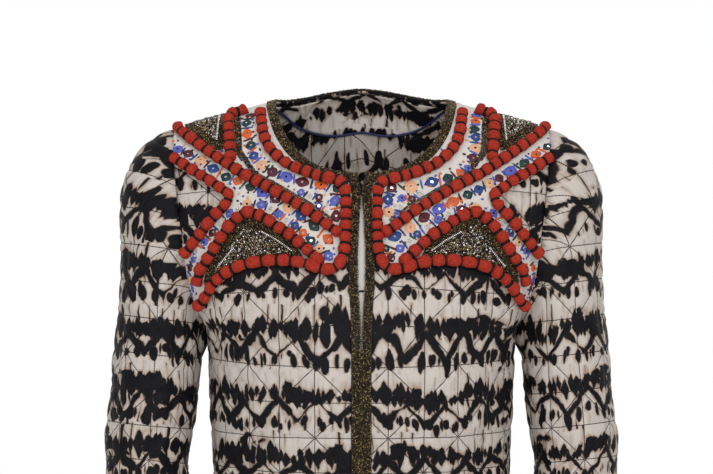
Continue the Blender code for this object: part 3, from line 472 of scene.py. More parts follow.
def cap_tables():
    """The cap's length at each angle, and h against the share of that length."""
    h = np.linspace(0, 1, 61)
    even = np.linspace(0, 1, CAP_STEPS + 1)
    lengths = np.empty(len(ANGLES))
    table = np.empty((len(ANGLES), len(even)))
    for k, angle in enumerate(ANGLES):
        run = run_of(cap(np.full(len(h), angle), h))
        lengths[k] = run[-1]
        table[k] = np.interp(even, run / run[-1], h)
    return lengths, table


CAP_LENGTHS, CAP_TABLE = cap_tables()
print("the cap is", round(float(CAP_LENGTHS.max()), 3), "m high")

# %% From the flat cloth to the sleeve
ELBOW_FOLD = 0.0026  # the height of the folds at the elbow
ELBOW_V, ELBOW_TALL = 0.15, 0.085
ELBOW_STEP, ELBOW_SLANT = 0.090, 0.3  # one fold to the next, and how they slant
HEAD_FOLD = 0.0090  # how full the sleeve's head is
HEAD_V, HEAD_TALL, HEAD_WIDE = -0.165, 0.052, 0.070


def sleeve_folds(uv):
    """How far the sleeve's cloth stands out in its full head and in the folds at the elbow."""
    u, v = uv.T
    bend = np.exp(-(((v - ELBOW_V) / ELBOW_TALL) ** 2))
    full = np.exp(-(((v - HEAD_V) / HEAD_TALL) ** 2)) * np.exp(-((u / HEAD_WIDE) ** 2))
    folds = ELBOW_FOLD * bend * np.cos(2 * np.pi * (v + ELBOW_SLANT * np.abs(u)) / ELBOW_STEP)
    return folds + HEAD_FOLD * full


def cap_length(angle):
    """How far above the biceps ring the armhole is, on the flat cloth."""
    return np.interp(angle, ANGLES, CAP_LENGTHS)


def angle_of(uv):
    """The angle round the sleeve at each flat place."""
    angle = -uv[:, 0] * 2 * np.pi / girth(np.maximum(uv[:, 1], 0))
    return (angle + np.pi) % (2 * np.pi) - np.pi


def smooth_sleeve(uv):
    """The sleeve's cloth without its folds."""
    angle = angle_of(uv)
    share = np.clip(1 + uv[:, 1] / cap_length(angle), 0, 1)
    row = (angle + np.pi) / (2 * np.pi) * (len(ANGLES) - 1)
    above = cap(angle, table_at(CAP_TABLE, row, share * CAP_STEPS))
    below = ring(angle, np.clip(uv[:, 1], 0, CUFF))
    return np.where(uv[:, 1:] < 0, above, below)


def sleeve_cloth(uv):
    """Points of the left sleeve's cloth, from places on the flat cloth."""
    uv = np.asarray(uv, float)
    highest = 0.001 - cap_length(angle_of(uv))
    off_ends = np.stack([uv[:, 0], np.clip(uv[:, 1], highest, CUFF - 0.001)], axis=1)
    out = normals_of(smooth_sleeve, off_ends)
    return smooth_sleeve(uv) + out * sleeve_folds(uv)[:, None]


def mirror_sleeve(uv):
    """Points of the right sleeve's cloth."""
    return sleeve_cloth(np.asarray(uv) * (-1, 1)) * (-1, 1, 1)


print("elbow at", np.round(sleeve_cloth([[0.0, ELBOW_V]])[0], 3))

# %% [markdown]
# ## Cutting a piece
# Real cloth is cut along an outline. A cut piece here is an outline filled with small even
# triangles, which bend well in every direction. A plain grid would leave stairs at a slanted edge,
# so the triangles are found by a constrained Delaunay fill, which follows the outline exactly.

# %% Outlines
def closed(outline):
    """The outline with its first point again at its end."""
    return np.vstack([outline, outline[:1]])


def area_of(outline):
    """The flat area that the outline holds."""
    u, v = outline.T
    return float(abs((u * np.roll(v, -1) - v * np.roll(u, -1)).sum()) / 2)


def without_repeats(outline):
    """The outline without points that fall on the one before."""
    gap = np.linalg.norm(outline - np.roll(outline, 1, axis=0), axis=1)
    return outline[gap > 1e-6]


def resampled(points, spacing):
    """The polyline with points an even distance apart, its corners kept."""
    points = np.asarray(points, float)
    found = [points[:1]]
    for a, b in zip(points[:-1], points[1:]):
        count = max(1, round(np.linalg.norm(b - a) / spacing))
        found.append(a + (b - a) * (np.arange(1, count + 1) / count)[:, None])
    return np.vstack(found)


def inside(polygon, points):
    """Which of the points are inside the polygon."""
    found = np.zeros(len(points), bool)
    for a, b in zip(polygon, np.roll(polygon, -1, axis=0)):
        if a[1] == b[1]:
            continue
        above = (a[1] > points[:, 1]) != (b[1] > points[:, 1])
        crossing = a[0] + (points[:, 1] - a[1]) / (b[1] - a[1]) * (b[0] - a[0])
        found ^= above & (crossing > points[:, 0])
    return found


def distance(lines, points):
    """From each point to the nearest of the lines."""
    nearest = np.full(len(points), 9.0)
    for line in lines:
        for a, b in zip(line[:-1], line[1:]):
            d = b - a
            h = np.clip(((points - a) @ d) / max(d @ d, 1e-12), 0, 1)
            nearest = np.minimum(nearest, np.linalg.norm(a + d * h[:, None] - points, axis=1))
    return nearest


print("shoulder bead panel:", round(area_of(np.array(BEADS_UPPER)) * 1e4, 1), "cm2")


# %% Fill an outline, and put it on the body
def staggered(outline, pitch):
    """Places over the outline's box, in rows that are set off by half a pitch."""
    low = outline.min(0)
    high = outline.max(0)
    rows = np.arange(low[1], high[1], pitch * 0.866)
    columns = np.arange(low[0], high[0], pitch)
    return np.array([(u + pitch / 2 * (k % 2), v) for k, v in enumerate(rows) for u in columns])


def filled(outline, spacing):
    """Flat points and triangles that fill the outline."""
    grid = staggered(outline, spacing)
    grid = grid[inside(outline, grid)]
    grid = grid[distance([closed(outline)], grid) > spacing * 0.6]
    points = np.vstack([outline, grid])
    border = [list(range(len(outline)))]
    found = delaunay_2d_cdt([Vector(p) for p in points], [], border, 1, 1e-8, True)
    origin = np.array([source[0] for source in found[3]])
    triangles = origin[np.array(found[2])]
    triangles = triangles[inside(outline, points[triangles].mean(1))]
    corners = points[triangles]
    first = corners[:, 1] - corners[:, 0]
    second = corners[:, 2] - corners[:, 0]
    turned = first[:, 0] * second[:, 1] - first[:, 1] * second[:, 0] < 0
    triangles[turned] = triangles[turned][:, ::-1]
    return points, triangles


def lifted(place, uv, height):
    """Points at this height off the middle of the cloth, outwards."""
    return place(uv) + normals_of(place, uv) * np.reshape(height, (-1, 1))


square = resampled([(0, 0), (0.1, 0), (0.1, 0.1), (0, 0.1), (0, 0)], 0.01)[:-1]
print("a square of 0.1 m is filled with", len(filled(square, 0.01)[1]), "triangles")


# %% Make a mesh object from points, and sew it on
def mesh_piece(name, points, faces, uv=None):
    """A smooth mesh piece. Its UV map holds the place of each point on the flat cloth."""
    mesh = bpy.data.meshes.new(name)
    mesh.from_pydata(points.tolist(), [], faces if isinstance(faces, list) else faces.tolist())
    if uv is not None:
        layer = mesh.uv_layers.new(name="cloth")
        corners = np.empty(len(mesh.loops), np.int32)
        mesh.loops.foreach_get("vertex_index", corners)
        layer.data.foreach_set("uv", np.asarray(uv, np.float32)[corners].ravel())
    mesh.update()
    obj = bpy.data.objects.new(name, mesh)
    bpy.context.scene.collection.objects.link(obj)
    mesh.polygons.foreach_set("use_smooth", np.ones(len(mesh.polygons), bool))
    return obj


def only(obj):
    """Selects this object alone, for the operators."""
    bpy.ops.object.select_all(action="DESELECT")
    obj.select_set(True)
    bpy.context.view_layer.objects.active = obj


def edited(obj, operator, **settings):
    """Runs an edit mode operator on the whole mesh."""
    only(obj)
    bpy.ops.object.mode_set(mode="EDIT")
    bpy.ops.mesh.select_all(action="SELECT")
    operator(**settings)
    bpy.ops.object.mode_set(mode="OBJECT")


def face_out(obj, out):
    """Flips the faces if on the whole they look against these directions."""
    normals = np.array([p.normal for p in obj.data.polygons])
    if (normals * out).sum(1).mean() < 0:
        obj.data.flip_normals()


def thicken(obj, thickness):
    """Gives a sheet its thickness, inwards from its outer face."""
    only(obj)
    solidify = obj.modifiers.new("thickness", "SOLIDIFY")
    solidify.thickness = thickness
    solidify.offset = -1
    bpy.ops.object.modifier_apply(modifier=solidify.name)


def sew(obj, material, node=None):
    """Gives a piece its finish and fixes it to the cloth, in the place of its CAD node."""
    obj.data.materials.append(material)
    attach(obj, "root")
    if node:
        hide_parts(node)


# %% [markdown]
# ## Quilting
# Two layers of thin silk with wadding between them are stitched through along a square grid, and
# in every second square also along its diagonals, so that eight lines meet in a star. The wadding
# lifts the cloth between the lines, and the thread gathers it into small wrinkles beside them. The
# lift is worked out from the distance to the nearest line. A bump map would be cheaper, but it
# would leave the outline of the jacket flat.

# %% The relief of the quilted cloth
PUFF_HIGH = 0.0020
PUFF_WIDE = 0.0055  # how fast the cloth rises beside a stitch line
PUCKER_HIGH, PUCKER_REACH, PUCKER_STEP = 0.00058, 0.005, 0.0075  # the small wrinkles at the lines
SOFT_HIGH, SOFT_STEP = 0.0007, 0.045  # and the broad unevenness of the wadding
SUNK = 0.0004  # how far the stitch lines lie below the cloth's own surface
WAVE_COUNT = 7


def waves(uv, length, seed):
    """Soft uneven waves of about this length, from -1 to 1."""
    rng = np.random.default_rng(seed)
    total = np.zeros(len(uv))
    for _ in range(WAVE_COUNT):
        angle = rng.uniform(0, 2 * np.pi)
        size = 2 * np.pi / (length * rng.uniform(0.7, 1.5))
        total += np.sin(uv @ np.array([np.cos(angle), np.sin(angle)]) * size + rng.uniform(0, 7))
    return total / WAVE_COUNT * 1.6


def quilt_distance(uv, origin):
    """From each place to the nearest stitch line."""
    a = (uv - np.array(origin)) / QUILT
    square = np.abs(a - np.round(a)).min(1) * QUILT
    slants = np.stack([(a[:, 0] - a[:, 1]) / 2, (a[:, 0] + a[:, 1]) / 2], axis=1)
    slanted = np.abs(slants - np.round(slants)).min(1) * QUILT * np.sqrt(2)
    return np.minimum(square, slanted)


def quilting(uv, origin, seed):
    """The height of the quilted cloth over its stitch lines."""
    away = quilt_distance(uv, origin)
    puff = PUFF_HIGH * (1 - np.exp(-((away / PUFF_WIDE) ** 1.2)))
    pucker = PUCKER_HIGH * np.exp(-away / PUCKER_REACH) * waves(uv, PUCKER_STEP, seed)
    return puff + pucker + SOFT_HIGH * waves(uv, SOFT_STEP, seed + 1) - SUNK


star = np.array([QUILT_FRONT, np.add(QUILT_FRONT, (QUILT / 2, QUILT / 4))])
print("relief on a stitch line and between two:", np.round(quilting(star, QUILT_FRONT, 3), 4))

# %% [markdown]
# ## Shader nodes, added by name
# A material is a tree of nodes. By hand each one is dragged in and wired up. In code a small class
# does this, with one method for each kind of node, and a second one lets numbers be written with
# plain signs, so that a pattern reads like its formula.

# %% A material in the making
class Finish:
    """A material in the making. Its methods add one node each and return its output."""

    def __init__(self, name, colour=(0.5, 0.5, 0.5), roughness=0.7, metallic=0.0, specular=0.5):
        self.material = bpy.data.materials.new(name)
        self.material.use_nodes = True
        self.tree = self.material.node_tree
        self.shader = self.tree.nodes["Principled BSDF"]
        self.set("Base Color", (*colour, 1))
        self.set("Roughness", roughness)
        self.set("Metallic", metallic)
        self.set("Specular IOR Level", specular)

    def set(self, socket, value):
        """Sets or links an input of the shader."""
        self.give(self.shader.inputs[socket], value)

    def give(self, socket, value):
        """Sets an input, or links it to the output that makes its value."""
        value = getattr(value, "socket", value)
        if isinstance(value, bpy.types.NodeSocket):
            self.tree.links.new(value, socket)
        else:
            if socket.type == "RGBA" and len(value) == 3:
                value = (*value, 1)
            socket.default_value = value

    def add(self, kind, *values, **settings):
        """Adds a node, with its first inputs and its settings."""
        node = self.tree.nodes.new(kind)
        for key, value in settings.items():
            setattr(node, key, value)
        for socket, value in zip(node.inputs, values):
            self.give(socket, value)
        return node

    def math(self, operation, *values, clamp=False):
        node = self.add("ShaderNodeMath", *values, operation=operation, use_clamp=clamp)
        return node.outputs[0]

    def vector(self, operation, *values):
        return self.add("ShaderNodeVectorMath", *values, operation=operation).outputs[0]

    def flat(self):
        """The place on the flat cloth."""
        return self.add("ShaderNodeUVMap", uv_map="cloth").outputs[0]

    def place(self):
        """The place in space."""
        return self.add("ShaderNodeTexCoord").outputs["Object"]

    def split(self, vector):
        return self.add("ShaderNodeSeparateXYZ", vector).outputs

    def noise(self, vector, scale, detail=2.0, roughness=0.5):
        """Smooth chance from 0 to 1, mostly near a half. A row of scales stretches it."""
        if isinstance(scale, tuple):
            vector = self.vector("MULTIPLY", vector, scale)
            scale = 1.0
        node = self.add("ShaderNodeTexNoise")
        for key, value in (
            ("Vector", vector), ("Scale", scale), ("Detail", detail), ("Roughness", roughness),
        ):
            self.give(node.inputs[key], value)
        return node.outputs["Fac"]

    def ramp(self, value, *stops):
        """A colour for each value, from (position, colour) stops."""
        node = self.add("ShaderNodeValToRGB", value)
        while len(node.color_ramp.elements) < len(stops):
            node.color_ramp.elements.new(1.0)
        for element, (position, colour) in zip(node.color_ramp.elements, stops):
            element.position = position
            element.color = (*colour, 1)
        return node.outputs[0]

    def mix(self, share, first, second):
        """A colour between two, by the share of the second."""
        node = self.add("ShaderNodeMix", data_type="RGBA")
        for k, value in ((0, share), (6, first), (7, second)):
            self.give(node.inputs[k], value)
        return node.outputs[2]

    def bump(self, height, strength, depth):
        """Small relief from a height."""
        node = self.add("ShaderNodeBump")
        for key, value in (("Strength", strength), ("Distance", depth), ("Height", height)):
            self.give(node.inputs[key], value)
        self.set("Normal", node.outputs[0])


print("materials so far:", len(bpy.data.materials))

# %% Numbers in a shader
class Number:
    """A number that a shader works out, written with plain signs instead of nodes."""

    def __init__(self, f, socket):
        self.f = f
        self.socket = socket

    def do(self, operation, *values, clamp=False):
        return Number(self.f, self.f.math(operation, *values, clamp=clamp))

    def __add__(self, other):
        return self.do("ADD", self, other)

    def __sub__(self, other):
        return self.do("SUBTRACT", self, other)

    def __rsub__(self, other):
        return self.do("SUBTRACT", other, self)

    def __mul__(self, other):
        return self.do("MULTIPLY", self, other)

    def __truediv__(self, other):
        return self.do("DIVIDE", self, other)

    def __pow__(self, other):
        return self.do("POWER", self, other)

    def __abs__(self):
        return self.do("ABSOLUTE", self)

    def floor(self):
        return self.do("FLOOR", self)

    def nearest(self):
        """The nearest whole number."""
        return self.do("ROUND", self)

    def least(self, other):
        return self.do("MINIMUM", self, other)

    def most(self, other):
        return self.do("MAXIMUM", self, other)

    def share(self):
        """The number, held between 0 and 1."""
        return self.do("ADD", self, 0.0, clamp=True)


def numbers(f, vector):
    """The three numbers of a vector or a colour."""
    return [Number(f, socket) for socket in f.split(vector)]


def chances(f, column, row):
    """Three numbers from 0 to 1 that are the same all over one cell of the pattern."""
    cell = f.add("ShaderNodeCombineXYZ", column, row)
    dice = f.add("ShaderNodeTexWhiteNoise", cell.outputs[0], noise_dimensions="2D")
    return numbers(f, dice.outputs["Color"])


print("shader numbers also know:", [word for word in vars(Number) if word.isalpha()])

# %% [markdown]
# ## The print: tie-dyed silk
# The ivory silk is folded, stitched and tied before it is dipped in black. The dye runs up and down
# from each fold, so it leaves rows of flames, pointed drops under them, crossing strokes in a
# zigzag and patchy bands, all with a brown edge where it crept. An image could hold such a
# pattern. Here each kind of mark is a formula in millimetres of cloth, positive inside the ink, and
# the largest of them wins, so the print has no seam and no end.

# %% The marks of the dye
ROW = 62.0  # from one fold of the cloth to the next, in millimetres
ZIGZAG = 42.0  # the width of one turn of the crossing strokes
HAIR = 1.8  # a mark narrower than this to each side fades out
COLUMNS = (
    # width, slimness of its flames, half width of its drops, its own lot of chances
    (15.5, 1.0, 4.6, 0),
    (10.3, 0.75, 3.6, 5),
    (7.1, 0.6, 0.0, 9),
)


def flames_and_drops(f, u, t, k, shift):
    """Columns of flames above drops: u across, t down from fold k, all in millimetres."""
    def mark(half_width, aside):
        return half_width - aside - 0.8 - (HAIR - half_width).most(0) * 1.6

    ink = None
    for width, slim, drop, lot in COLUMNS:
        column = (u + k * 3.7 + shift * 100) / width
        i = column.floor()
        a, b, c = chances(f, i + lot * 31, k)
        x = abs((column - i - 0.5) * width - (a - 0.5) * width * 0.4)
        rising = (t - 2 - b * 12).most(0)
        falling = (33 - t + a * 13).most(0)
        foot = rising * rising * (c * 0.026 + 0.011)
        made = mark(foot.least(falling * falling * 0.021) * slim, x)
        if drop:
            along = (t - 48 - b * 7) / (c * 4 + 6)
            made = made.most(mark((1 - along * along).most(0) * (a * drop + 0.7), x))
        ink = made if ink is None else ink.most(made)
    return ink


def tie_dye(f, flat, fold_at, dense, shift):
    """How far inside the ink each place is, in millimetres, with bare silk below 0, and the
    share of brown wash on it."""
    def cloud(stretch, move=0.0, detail=2.0):
        """Smooth chance from about -0.25 to 0.25, with blobs 1000 / stretch mm long."""
        at = f.vector("MULTIPLY", f.vector("ADD", flat, (move + shift, move, 0)), (*stretch, 1))
        return Number(f, f.noise(at, 1.0, detail)) - 0.5

    u, v, _ = [number * 1000 for number in numbers(f, flat)]
    u = u + cloud((16, 9), 3.0) * 22 + cloud((95, 55), 4.0, 3) * 3.4
    v = v + cloud((17, 14), 5.0) * 36 + cloud((80, 60), 6.0, 3) * 10.0
    row = (v - fold_at) / ROW
    k = row.floor()
    t = (row - k) * ROW

    holes = (cloud((105, 65), 8.0) + 0.01).most(0) * 60
    band = cloud((21, 30), 7.0) * 48 + 1.8 - abs(t - 23) * 0.62 - holes
    zig = u / ZIGZAG + k * 0.5 + shift * 7
    peak = abs(zig - zig.floor() - 0.5) * 2
    slope = abs(t - 29 - peak * 21) * 0.62
    strokes = (cloud((27, 20), 9.0) * 17 + 2.6 - slope).least(2.7 - slope)
    third = zig * 3
    vein = cloud((60, 16), 10.0, 1.0) * 11 - 1.5 - abs(third - third.floor() - 0.5) * ZIGZAG / 3

    ink = flames_and_drops(f, u, t, k, shift).most(band).most(strokes).most(vein)
    uneven = cloud((9, 12), 12.0) * 4.5 + cloud((260, 120), 11.0, 3) * 1.5
    wash = (band * 0.16 + 0.95 + cloud((90, 60), 13.0) * 3.0).most(0).least(1)
    return ink + uneven + dense, wash


print("print: folds every", ROW, "mm,", len(COLUMNS), "widths of column")

# %% Ivory silk with ink and quilting thread
IVORY = (0.50, 0.445, 0.40)
PALE = (0.59, 0.545, 0.505)
TAN = (0.30, 0.205, 0.14)
UMBER = (0.085, 0.055, 0.042)
INK = (0.0025, 0.0025, 0.0036)
WORN_INK = (0.0085, 0.0085, 0.0115)
BLACK_THREAD = (0.008, 0.007, 0.008)
THREAD_HALF = 0.00052
STITCHES = 330  # in a metre


def stitch_lines(u, v, origin):
    """How far each place is from a quilting line, in metres."""
    a = (u - origin[0]) / QUILT
    b = (v - origin[1]) / QUILT
    slant = QUILT * 2**0.5
    lines = ((a, QUILT), (b, QUILT), ((a - b) * 0.5, slant), ((a + b) * 0.5, slant))
    first, *others = [abs(x - x.nearest()) * pitch for x, pitch in lines]
    for other in others:
        first = first.least(other)
    return first


def dyed_silk(name, quilt_origin, fold_at, dense, shift=0.0, painted_light=1.0):
    """Ivory silk with black tie-dye, and with dark thread along the quilting lines if any. A last
    number above 1 paints the ground lighter: painted light for cloth in shade.
    """
    f = Finish(name, IVORY, 0.6, specular=0.12)
    flat = f.flat()
    u, v, _ = numbers(f, flat)
    dye, wash = tie_dye(f, flat, fold_at, dense, shift)
    # The ground is scaled by the last argument: painted light, brightening cloth that the lamps leave
    # in shade.
    ivory, pale = [tuple(painted_light * part for part in colour) for colour in (IVORY, PALE)]
    ground = f.mix(wash * 0.55, f.mix(f.noise(flat, 42, 3), ivory, pale), TAN)
    reach = Number(f, f.noise(f.vector("ADD", flat, (2.2, 8.1, 0)), 70, 2)) * 8.5
    crept = ((dye + reach) / (reach + 0.2)).share()
    ground = f.mix(crept**1.8 * 0.95, ground, TAN)
    depth = Number(f, f.ramp(
        (dye * 0.32 + 0.5).share(),
        (0.30, (0, 0, 0)), (0.47, (0.45, 0.45, 0.45)), (0.66, (1, 1, 1))))
    brown = f.mix((depth * 2.2).share(), ground, UMBER)
    black = f.mix(f.noise(flat, 60, 2), INK, WORN_INK)
    colour = f.mix((depth * 1.8 - 0.8).share(), brown, black)
    hollow = 1.0
    if quilt_origin:
        away = stitch_lines(u, v, quilt_origin)
        on_line = Number(f, f.math("LESS_THAN", away, THREAD_HALF))
        run = (u + v * 1.31) * STITCHES
        seen = f.math("GREATER_THAN", run - run.floor(), 0.14)
        colour = f.mix(on_line * seen * 0.95, colour, BLACK_THREAD)
        hollow = (away * 800).share()
    f.set("Base Color", colour)
    weave = Number(f, f.noise(flat, (1800, 2300, 1), 1))
    slub = Number(f, f.noise(flat, (90, 1400, 1), 2))
    f.bump(weave * 0.35 + slub * 0.4 + f.math("MULTIPLY", hollow, 2.2), 0.35, 0.0006)
    print(name, "has", len(f.tree.nodes), "nodes")
    return f.material


front_silk = dyed_silk("dyed silk front", QUILT_FRONT, 231.0, 0.55)
back_silk = dyed_silk("dyed silk back", QUILT_BACK, 51.0, 0.5, shift=0.37)
sleeve_silks = {
    "left": dyed_silk("dyed silk sleeve left", QUILT_SLEEVE, 10.0, 0.05, shift=1.71),
    "right": dyed_silk("dyed silk sleeve right", QUILT_SLEEVE, 10.0, 1.2, shift=1.71),
}
# The facing's ground is painted 1.4 times lighter: painted light inside the neck, where the lamps reach
# little.
facing_silk = dyed_silk("dyed silk facing", None, 20.0, 0.1, shift=3.13, painted_light=1.4)

# %% [markdown]
# ## Fronts, back and sleeves
# Each outline runs along the seams, the armhole, the hem and the neck, as on a paper pattern. The
# sleeve is one flat piece whose two long edges meet under the arm, where they are merged. The
# pieces could be one mesh with seams painted on, but cut apart they have real seams and edges.

# %% Outlines of the cut pieces
SPACING = 0.0026  # the size of the front's triangles
EDGE_STEP = 0.003
SEAM_V = float(down_at(SHOULDER_ROW))
FRONT_HEM = float(DOWN[-1])
BACK_HEM = float(DOWN[0])
NECK_SIDE = (0.088, SEAM_V)  # where the shoulder seam meets the neck
FRONT_NECK = [NECK_SIDE, (0.088, SEAM_V / 2)] + NECKLINE
REAR_NECK = [NECK_SIDE] + BACK_NECK


def arm_edge(first, last):
    """The outer edge of the body's cloth between two rows."""
    rows = np.linspace(first, last, 90)
    return np.stack([edge_length(rows), down_at(rows)], axis=1)


def seam_and_side(underarm, hem_row, hem, middle):
    """From the neck along the shoulder seam, the armhole, the side seam and the hem."""
    return [
        resampled([NECK_SIDE, (edge_length(SHOULDER_ROW), SEAM_V)], EDGE_STEP),
        resampled(arm_edge(SHOULDER_ROW, underarm)[1:], EDGE_STEP),
        resampled(arm_edge(underarm, hem_row)[1:], EDGE_STEP),
        resampled([(edge_length(hem_row) - 0.003, hem), (middle, hem)], EDGE_STEP),
    ]


def front_outline():
    neck = spaced(FRONT_NECK, 0.004)[:-1]
    edge_v = np.arange(FRONT_HEM, neck[-1, 1], -0.004)
    edge = np.stack([gap_at(edge_v), edge_v], axis=1)
    return np.vstack([*seam_and_side(5, 9, FRONT_HEM, 0.004), edge, neck[::-1][:-1]])


def back_outline():
    half = np.vstack(seam_and_side(-5, -9, BACK_HEM, 0.0015))
    neck = spaced(REAR_NECK, 0.004)[1:]
    neck[-1, 0] = 0.0
    return np.vstack([half, half[::-1] * (-1, 1), neck[:-1] * (-1, 1), neck[::-1]])


def sleeve_outline():
    angles = np.linspace(-np.pi, np.pi, 121)
    top = np.stack([-angles * girth(0.0) / (2 * np.pi), -cap_length(angles)], axis=1)
    levels = np.arange(0, CUFF, 0.0035)
    ahead = np.stack([-girth(levels) / 2, levels], axis=1)
    cuff = resampled([(-girth(CUFF) / 2, CUFF), (girth(CUFF) / 2, CUFF)], 0.0035)
    return np.vstack([top, ahead, cuff, ahead[::-1] * (-1, 1)])


cut_front = without_repeats(front_outline())
cut_back = without_repeats(back_outline())
cut_sleeve = without_repeats(sleeve_outline())
for cut in (cut_front, cut_back, cut_sleeve):
    print("cut", np.round(cut.max(0) - cut.min(0), 3), "m, area", round(area_of(cut), 4), "m2")


# %% A quilted piece
def quilted_piece(name, place, uv, triangles, origin, seed, silk, slot, covered=None):
    """One cut piece of quilted silk in its place, with its thickness."""
    height = WALL / 2 + quilting(uv, origin, seed)
    if covered is not None:
        height = np.where(covered(uv), WALL / 2 - 0.0002, height)
    obj = mesh_piece(name, lifted(place, uv, height), triangles, uv)
    face_out(obj, normals_of(place, uv[triangles].mean(1)))
    edited(obj, bpy.ops.mesh.remove_doubles, threshold=0.00002)
    thicken(obj, WALL)
    sew(obj, silk, name.replace("quilted_", ""))
    print(name, len(obj.data.polygons), "faces")
    return obj


# %% [markdown]
# ## The yoke
# A shaped piece of white cotton is sewn over each shoulder and chest. It carries all the
# embroidery: mirrors, bead-filled panels and couched cords. It is cut with a deep notch at the
# armhole, so that its lower part reads as a leaf. The same outline is used twice: for the cotton,
# and to flatten the quilting below it, so that no puff comes up through the embroidery.

# %% Lines along the neck and the front edge
SIDES = {"left": 1.0, "right": -1.0}
NECK_RUN = spaced(FRONT_NECK, EDGE_STEP)[:-1]
EDGE_V = np.arange(NECK_RUN[-1, 1] + 0.001, FRONT_HEM, EDGE_STEP)
EDGE_RUN = np.stack([gap_at(EDGE_V), EDGE_V], axis=1)
BACK_RUN = spaced(REAR_NECK, EDGE_STEP)


def beside_neck(inset):
    """The line this far in from the neck and then from the front edge, with a mitred corner."""
    neck = beside(NECK_RUN, -inset)
    edge = EDGE_RUN + (inset, 0)
    neck = neck[neck[:, 0] > edge[0, 0] + 0.0008]
    edge = edge[edge[:, 1] > neck[-1, 1] + 0.0008]
    return np.vstack([neck, edge])


print("neck and front edge:", round(run_of(beside_neck(0.0))[-1], 3), "m on each side")

# %% The yoke's outline
YOKE_FOOT = 0.186  # how far down the front edge the yoke goes
UPPER_ARM = (SHOULDER_ROW, 1.64)  # the rows between which it reaches the armhole
LOWER_ARM = (3.1333, 4.2533)


def yoke_outline():
    inner = beside_neck(TRIM_WIDTH)
    inner = inner[inner[:, 1] < YOKE_FOOT]
    seam = [(edge_length(SHOULDER_ROW), SEAM_V), (inner[0, 0], SEAM_V)]
    return np.vstack([
        inner,
        spaced(YOKE_LOWER, EDGE_STEP) - (0, 0.0078),
        resampled(arm_edge(*LOWER_ARM), EDGE_STEP)[::-1],
        spaced(YOKE_NOTCH, EDGE_STEP),
        resampled(arm_edge(*UPPER_ARM), EDGE_STEP)[::-1],
        resampled(seam, EDGE_STEP)[1:-1],
    ])


cut_yoke = without_repeats(yoke_outline())


def under_yoke(uv):
    """Which places of a front are under the yoke or the beaded edging."""
    flat = np.stack([np.abs(uv[:, 0]), uv[:, 1]], axis=1)
    near = distance([NECK_RUN, EDGE_RUN], flat) < TRIM_WIDTH
    return near | inside(cut_yoke, flat) | (distance([closed(cut_yoke)], flat) < 0.0012)


def under_back_trim(uv):
    """Which places of the back are under the edging of its neck."""
    return distance([BACK_RUN, BACK_RUN * (-1, 1)], uv) < TRIM_WIDTH


print("yoke", np.round(cut_yoke.max(0) - cut_yoke.min(0), 3), "area", round(area_of(cut_yoke), 4))


# %% Place the quilted pieces
def mirrored(cloth, origin):
    """The flat piece and its quilting for the other side."""
    uv, triangles = cloth
    return uv * (-1.0, 1.0), triangles[:, ::-1], (-origin[0], origin[1])


cloth_front = filled(cut_front, SPACING)
cloth_back = filled(cut_back, SPACING * 1.35)
cloth_sleeve = filled(cut_sleeve, SPACING * 1.1)
quilted = {
    "front_left": quilted_piece(
        "quilted_front_left", body_cloth, *cloth_front, QUILT_FRONT, 3, front_silk,
        "body_cloth", under_yoke),
    "front_right": quilted_piece(
        "quilted_front_right", body_cloth, *mirrored(cloth_front, QUILT_FRONT), 4, front_silk,
        "body_cloth", under_yoke),
    "back": quilted_piece(
        "quilted_back", body_cloth, *cloth_back, QUILT_BACK, 5, back_silk,
        "body_cloth", under_back_trim),
    "sleeve_left": quilted_piece(
        "quilted_sleeve_left", sleeve_cloth, *cloth_sleeve, QUILT_SLEEVE, 6,
        sleeve_silks["left"], "sleeve_cloth"),
    "sleeve_right": quilted_piece(
        "quilted_sleeve_right", mirror_sleeve, *mirrored(cloth_sleeve, QUILT_SLEEVE), 7,
        sleeve_silks["right"], "sleeve_cloth"),
}

# %% [markdown]
# ## White cotton
# The yoke's cotton is plain woven and a little creamy. Its grain is noise stretched along the two
# ways of the weave, which costs less than modelled threads and holds up at this distance.

# %% The yoke's two cotton pieces
YOKE_LOW = WALL / 2 + GAP
YOKE_THICK = 0.0010
YOKE_TOP = YOKE_LOW + YOKE_THICK
cotton = Finish("yoke cotton", (0.66, 0.63, 0.59), 0.85, specular=0.2)
cotton.set("Base Color", cotton.mix(
    cotton.noise(cotton.flat(), 140, 3), (0.58, 0.54, 0.49), (0.73, 0.70, 0.66)))
cotton.bump(cotton.noise(cotton.flat(), (2600, 2100, 1), 1), 0.4, 0.0004)


def laid_piece(name, outline, low, thickness, material, node, side):
    """A flat piece of cloth that lies on the cloth below it, from low to low + thickness."""
    uv, triangles = filled(outline, 0.0026)
    uv = uv * (side, 1)
    if side > 0:
        triangles = triangles[:, ::-1]
    obj = mesh_piece(name, lifted(body_cloth, uv, low + thickness), triangles, uv)
    face_out(obj, normals_of(body_cloth, uv[triangles].mean(1)))
    thicken(obj, thickness)
    sew(obj, material, node)
    return obj


for name, side in SIDES.items():
    piece = laid_piece(f"cotton_yoke_{name}", cut_yoke, YOKE_LOW, YOKE_TOP - YOKE_LOW,
                       cotton.material, f"yoke_{name}", side)

# %% [markdown]
# ## Beads
# Seed beads are sewn so close that they read as one rough dark surface. One bead is modelled, and
# each panel is a single mesh with a copy of it at every place, given as arrays. A number stored on
# each bead picks its colour, so the shader makes bronze, gold, smoked and silver beads from one
# material.

# %% One bead, and many of it
def template(add):
    """Corners and faces of the object that the operator adds."""
    bpy.ops.object.select_all(action="DESELECT")
    add()
    obj = bpy.context.object
    corners = np.array([v.co for v in obj.data.vertices])
    faces = [tuple(p.vertices) for p in obj.data.polygons]
    bpy.data.objects.remove(obj, do_unlink=True)
    return corners, faces


def copies(shape, count):
    """The faces of this many copies of the shape in one mesh."""
    corners, faces = shape
    return [tuple(c + n * len(corners) for c in face) for n in range(count) for face in faces]


